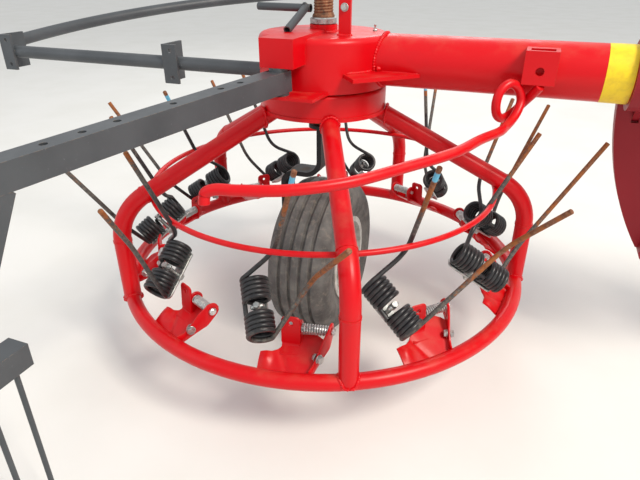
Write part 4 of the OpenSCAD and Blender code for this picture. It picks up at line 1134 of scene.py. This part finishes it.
@dataclass
class RotorWelds:
    """Weld beads round each spoke's foot on the ring and round its upper end at the disc."""

    count: int = 5
    # angle of the first spoke, and the slope of a spoke's upper part
    phase: float = -63.2
    slope: float = 27.0
    # the ring, its tube's radius, and the height of the knee over it
    ring_r: float = 0.5
    ring_z: float = 0.190
    ring_tube: float = 0.01685
    knee_z: float = 0.412
    # where a spoke enters the disc, and the beads' circles round its tube at the foot and there
    collar_at: float = 0.150
    foot_bead: float = 0.0205
    collar_bead: float = 0.0203

    def foot(self) -> Array:
        """Line where an upright spoke meets the ring: the ring's skin over the spoke's plan circle."""
        x, y = arc(self.foot_bead, 0, 360, 73).T
        z = self.ring_z + np.sqrt(np.maximum(self.ring_tube**2 - x**2, 0.0)) - 0.001
        return np.stack([self.ring_r + x, y, z], 1)

    def collar(self) -> Array:
        """Line round the spoke's sloping part where it enters the disc."""
        slope = math.radians(self.slope)
        y, up = arc(self.collar_bead, 0, 360, 49).T
        rise = self.knee_z + (self.ring_r - self.collar_at) * math.tan(slope)
        return np.stack([self.collar_at + up * 0.12, y, rise + up / math.cos(slope)], 1)

    def pieces(self) -> list[Piece]:
        """One rotor's spoke welds."""
        spoke = joined([weld(self.foot(), 0.0034, 5), weld(self.collar(), 0.0032, 9)])
        return [Piece("spoke_welds", spread([spoke] * self.count, self.phase), "rotor", "red_paint")]


@dataclass
class Post:
    """Threaded height spindle with its ring nut and the cranked handle of open tube."""

    radius: float = 0.022
    foot: float = 0.560
    top: float = 0.905
    # the thread's pitch and depth, and the height of the nut's foot
    pitch: float = 0.006
    depth: float = 0.0016
    nut_z: float = 0.7853

    def spindle(self) -> Surface:
        """Spindle over (height, angle), its thread a triangle wave of height over pitch less the turn."""
        sides, chamfer = 56, 0.002
        # heights over the nut's foot: the thread's start and run-out, and the flare on the nut
        thread_from, run_out = 0.018, 0.004
        flare_at, flare_size, flare_out = 0.015, 0.006, 0.0030
        a = np.arange(sides) * 2 * np.pi / sides
        z = np.concatenate([[self.foot, self.foot], np.linspace(self.nut_z + 0.016, self.top - chamfer, 190),
                            [self.top, self.top]])
        above = z[:, None] - self.nut_z
        wave = np.abs(((z[:, None] / self.pitch - a[None, :] / (2 * np.pi)) % 1.0) - 0.5) * 2
        r = self.radius - self.depth * wave * np.clip((above - thread_from) / run_out, 0, 1)
        flare = flare_out * np.exp(-(((above - flare_at) / flare_size) ** 2))
        r = r + np.where(above > 0, flare, 0)
        r[0] = self.radius - 0.001
        r[-1] -= chamfer
        points = np.stack([r * np.cos(a), r * np.sin(a), np.broadcast_to(z[:, None], r.shape)], -1)
        return grid(points, cap=True)

    def nut(self) -> Surface:
        """Ring nut, its top and foot chamfered."""
        profile = np.array([[22.3, 0], [28, 0], [30, 1.5], [30, 11.5], [28, 13.8], [22.3, 13.8]]) * MM
        return lathe(profile, 12).moved((0, 0, self.nut_z))

    def crank(self) -> Surface:
        """Two open tubes welded in a cross: one along the beam and one down over the drum's edge."""
        outer, bore = 0.0085, 0.0062
        long_bar = np.array([[-163, 5, 817], [-100, -2, 817], [-27, -9, 817]]) * MM
        drop = np.array([[-37, -11, 819], [-39.5, -57, 799.5], [-42, -104, 780]]) * MM
        joint = np.array([[-47, -11, 822], [-40, -15, 827], [-32, -14, 825.5]]) * MM
        return joined([pipe(long_bar, outer, bore), pipe(drop, outer, bore), weld(joint, 0.0028, 3)])

    def pieces(self) -> list[Piece]:
        """One side's spindle, nut and crank."""
        return [Piece("spindle_thread", self.spindle(), "frame", "bare_steel", "spindle", sharp=60),
                Piece("spindle_nut", self.nut(), "frame", "zinc"),
                Piece("crank_tubes", self.crank(), "frame", "grey_paint", "crank")]


@dataclass
class Beam:
    """What is fixed to the cross beam and the drum: welds, bolts, grease nipple and the plain yellow film."""

    beam_r: float = 0.055
    beam_z: float = 0.716
    drum_r: float = 0.1465
    drum_top: float = 0.770
    flange_x: float = 0.8707
    # the film's ends along the beam, and how far it stands off the paint
    film_from: float = 0.5835
    film_to: float = 0.6335
    film_off: float = 0.00022
    # circles of the beads round the beam at the drum and at the flange
    joint_bead: float = 0.0556
    flange_bead: float = 0.0562
    # bead radius in metres, seed, and line in millimetres
    straight_seams: tuple[tuple[float, int, list[list[float]]], ...] = (
        (0.006, 23, [[140, -50, 702], [146, -53, 705], [152, -52.5, 704]]),  # dab at the gusset's end
        (0.0028, 24, [[150, -51, 699.5], [190, -51, 699.5], [234, -51, 699.5]]),  # gusset under the beam
        # round the flat bar's foot
        (0.0034, 25, [[58.5, -58, 770], [58.5, -66.5, 770], [85.5, -66.5, 770], [85.5, -58, 770]]),
        (0.003, 28, [[440, -40, 753.5], [496, -40, 753.5]]),  # crop rod's lug, above and twice below
        (0.003, 29, [[440, -53.5, 702], [446, -53.5, 702]]),
        (0.003, 31, [[490, -53.5, 702], [496, -53.5, 702]]),
    )

    def film(self) -> Surface:
        """Plain film: a thin skin over (along, round) on the beam's rear."""
        x = np.linspace(self.film_from, self.film_to, 8)[:, None]
        y, up = arc(self.beam_r + self.film_off, 68, 272, 48).T
        return sheet(np.stack(np.broadcast_arrays(x, y[None, :], self.beam_z + up[None, :]), -1), 0.0003)

    def round_seams(self) -> list[Surface]:
        """Welds round the beam at the drum and at its flange, along the gusset's top and round the collar."""
        y, up = arc(self.joint_bead, 0, 360, 73).T
        joint = np.stack([np.sqrt((self.drum_r + 0.0004) ** 2 - y**2), y, self.beam_z + up], 1)
        y, up = arc(self.flange_bead, 0, 360, 73).T
        flange = np.stack([0 * y + self.flange_x - 0.001, y, self.beam_z + up], 1)
        gusset = level(arc(self.drum_r, -50, -24, 14), 0.7008)
        collar = level(arc(0.0315, 0, 360, 61), self.drum_top + 0.0005)
        return [weld(joint, 0.0042, 21), weld(gusset, 0.003, 22), weld(collar, 0.0026, 26),
                weld(flange, 0.0036, 27)]

    def nipple(self) -> Surface:
        """Grease nipple: hexagon foot, waisted stem and ball tip, turned about its axis."""
        stem = np.array([[3.2, 0], [3.2, 3], [2.0, 4.2], [2.0, 7.5], [3.1, 9.0], [3.1, 10.5], [1.6, 12.2],
                         [0.1, 12.6]]) * MM
        at = np.array([0.1093, 0.0374, self.drum_top - 0.0002])
        tip = lathe(stem, 20, closed=False).moved(at + [0, 0, 0.003])
        return joined([stand_on(hexagon(0.009, 0.004), at, (0, 0, 1)), tip])

    def bar_bolt(self) -> Surface:
        """Bolt through the flat bar's hole, its head to the rear and a nut behind."""
        x, z = 0.072, 0.825
        return joined([stand_on(bolt(0.012, 0.0055, 0.0085), (x, y, z), (0, way, 0), spin)
                       for y, way, spin in ((-0.0663, -1, 0.4), (-0.0577, 1, 0.1))])

    def flange_bolts(self, ring: float = 0.070, count: int = 8) -> Surface:
        """Bolts round the beam's flange at the gearbox."""
        head = bolt(0.019, 0.009, 0.014)
        places = (np.arange(count) + 0.5) * 2 * np.pi / count
        return joined([stand_on(head, (self.flange_x, ring * math.cos(a), self.beam_z + ring * math.sin(a)),
                                (-1, 0, 0), 0.3 + a) for a in places])

    def pieces(self) -> list[Piece]:
        """One side's beam and drum details."""
        straight = [weld(np.array(line) * MM, radius, seed) for radius, seed, line in self.straight_seams]
        bolts = joined([self.nipple(), self.bar_bolt(), self.flange_bolts()])
        return [Piece("beam_welds", joined([*self.round_seams(), *straight]), "frame", "red_paint"),
                Piece("beam_bolts", bolts, "frame", "zinc"),
                Piece("plain_film", self.film(), "frame", "", finish="yellow_film")]


@dataclass
class Wheel:
    """Ribbed tyre with rounded shoulders, and the rim's nuts.

    Profile lengths are millimetres: radius, then distance along the axle.
    """

    axle_z: float = 0.2025
    outer: float = 202.5
    half_width: float = 82.5
    shoulder: float = 42.0

    def half_profile(self) -> Array:
        """Half of the tyre's section from the tread's middle to the bead."""
        wall_of_groove = [[202.4, 6.0], [201.6, 4.9], [198.5, 4.2], [195.2, 3.2], [194.5, 1.8]]

        def groove(at: float) -> list[list[float]]:
            return [[r, at + way * off] for way in (-1, 1) for r, off in wall_of_groove[::-way]]

        tread = [[202.5, 0], [202.5, 3], [202.5, 6], *groove(13.5), [202.5, 22], [202.4, 31], *groove(40.0)]
        a = np.radians(np.arange(14, 88, 6))
        ribs = np.array([self.outer, self.half_width]) - self.shoulder
        ribs = ribs + self.shoulder * np.stack([np.cos(a), np.sin(a)], 1)
        # two corners of the shoulder stand out as thin ribs
        ribs[4] += [0.6, 0.8]
        ribs[5] += [0.2, 0.2]
        wall = [[158, 82.4], [150, 82.0], [143, 81.0], [141, 81.6], [138, 81.4], [136, 79.8], [128, 77.5],
                [120, 74.2], [114, 72.6], [110, 72.2], [106, 71.4], [103.4, 70.6], [102.9, 69.6]]
        return np.vstack([tread, ribs, wall])

    def tyre(self) -> Surface:
        """The tyre: its section turned about the axle, the tread worn a little unevenly."""
        half = self.half_profile()
        ring = lathe(np.vstack([half[:0:-1] * [1, -1], half]) * MM, 144)
        reach = np.linalg.norm(ring.points[:, :2], axis=1, keepdims=True)
        wear = np.abs(np.random.default_rng(8).normal(0, 0.00018, len(reach)))[:, None]
        ring.points[:, :2] *= np.where(reach > 0.2, 1 - wear / reach, 1)
        return ring.placed((0, 0, self.axle_z), (0, 1, 0), (0, 0, 1))

    def nuts(self, ring: float = 0.05, web: float = 0.005) -> Surface:
        """Four nuts on the rim's web on each face."""
        nut = bolt(0.017, 0.009, 0.012)
        return joined([stand_on(nut, (way * web, ring * math.cos(a), self.axle_z + ring * math.sin(a)),
                                (way, 0, 0), a) for a in np.arange(4) * np.pi / 2 + 0.5 for way in (-1, 1)])

    def pieces(self) -> list[Piece]:
        """One side's tyre and rim nuts."""
        return [Piece("ribbed_tyre", self.tyre(), "wheel", "tyre_rubber", "tyre"),
                Piece("rim_nuts", self.nuts(), "wheel", "zinc")]


@dataclass
class Studio:
    """Plain pale floor, soft lamps and the photograph's camera."""

    camera_at: tuple[float, float, float] = (-0.5135, -1.208, 0.9105)
    right: tuple[float, float, float] = (0.9305, 0.366, 0.0)
    up: tuple[float, float, float] = (-0.168, 0.428, 0.888)
    focal_px: float = 540.0
    frame_px: float = 640.0
    sensor: float = 36.0
    # name, place, the point it faces, size in metres, power in watts, colour
    lamps: tuple[tuple[str, Point, Point, float, float, str], ...] = (
        ("key", (2.4, -1.6, 4.2), (-0.7, 0, 0.3), 1.4, 235, "#fff6ea"),
        ("fill", (-4.0, -2.8, 2.6), (-0.9, 0, 0.4), 3.0, 20, "#eaf2ff"),
        ("rim", (-1.5, 4.0, 3.2), (-0.8, 0, 0.4), 2.0, 50, "#ffffff"),
    )
    sky: str = "#f3f5f7"
    sky_strength: float = 0.85

    def camera(self) -> None:
        """Makes the camera from the photograph's solved place and heading."""
        lens = bpy.data.cameras.new("camera")
        lens.sensor_width = self.sensor
        lens.lens = self.focal_px / self.frame_px * self.sensor
        lens.clip_start = 0.01
        obj = put("camera", lens)
        right = Vector(self.right).normalized()
        up = Vector(self.up)
        up = (up - right * right.dot(up)).normalized()
        back = right.cross(up)
        turn = Matrix((right, up, back)).transposed().to_4x4()
        obj.matrix_world = Matrix.Translation(self.camera_at) @ turn
        bpy.context.scene.camera = obj

    def lamp(self, name: str, at: Point, aim: Point, size: float, power: float, colour: str) -> None:
        """Adds a square area lamp at a place, facing a point."""
        data = bpy.data.lights.new(name, "AREA")
        data.size = size
        data.energy = power
        data.color = linear(colour)[:3]
        obj = put(name, data)
        obj.location = at
        obj.rotation_mode = "QUATERNION"
        obj.rotation_quaternion = (Vector(aim) - Vector(at)).to_track_quat("-Z", "Y")

    def floor(self, reach: float = 40.0) -> None:
        """Lays a wide pale floor, softly mottled, at ground level."""
        mesh = bpy.data.meshes.new("studio_floor")
        mesh.from_pydata([(-reach, -reach, 0), (reach, -reach, 0), (reach, reach, 0), (-reach, reach, 0)], [],
                         [(0, 1, 2, 3)])
        mesh.materials.append(Coat("pale_floor", ("#e4e3df", "#e0dfda"), (400, 0.35, 0.7, 4),
                                   rough=(0.85, 12, 5, 0.0), bumps=()).make())
        obj = put("studio_floor", mesh)

    def world(self) -> None:
        """A pale sky that lights softly from everywhere and shows pale behind the machine."""
        world = bpy.data.worlds.new("studio_world")
        bpy.context.scene.world = world
        world.use_nodes = True
        background = world.node_tree.nodes["Background"]
        background.inputs["Color"].default_value = linear(self.sky)
        background.inputs["Strength"].default_value = self.sky_strength

    def build(self) -> None:
        """Sets up the camera, floor, lamps and world."""
        self.camera()
        self.floor()
        self.world()
        for lamp in self.lamps:
            self.lamp(*lamp)
        bpy.context.scene.view_settings.view_transform = "Standard"


def main() -> None:
    """Loads the frame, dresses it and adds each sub-assembly."""
    logging.basicConfig(level=logging.INFO, format="%(name)s: %(message)s")
    for old in list(bpy.data.objects):
        bpy.data.objects.remove(old)
    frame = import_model()
    finishes = all_finishes()
    dress(frame, finishes)
    makers = (Tines(), Holders(), RotorWelds(), CropRod(), Post(), Beam(), Wheel())
    pieces = [piece for maker in makers for piece in maker.pieces()]
    for side in Side:
        for piece in pieces:
            to_object(piece, side, finishes)
    Studio().build()


if __name__ == "__main__":
    main()
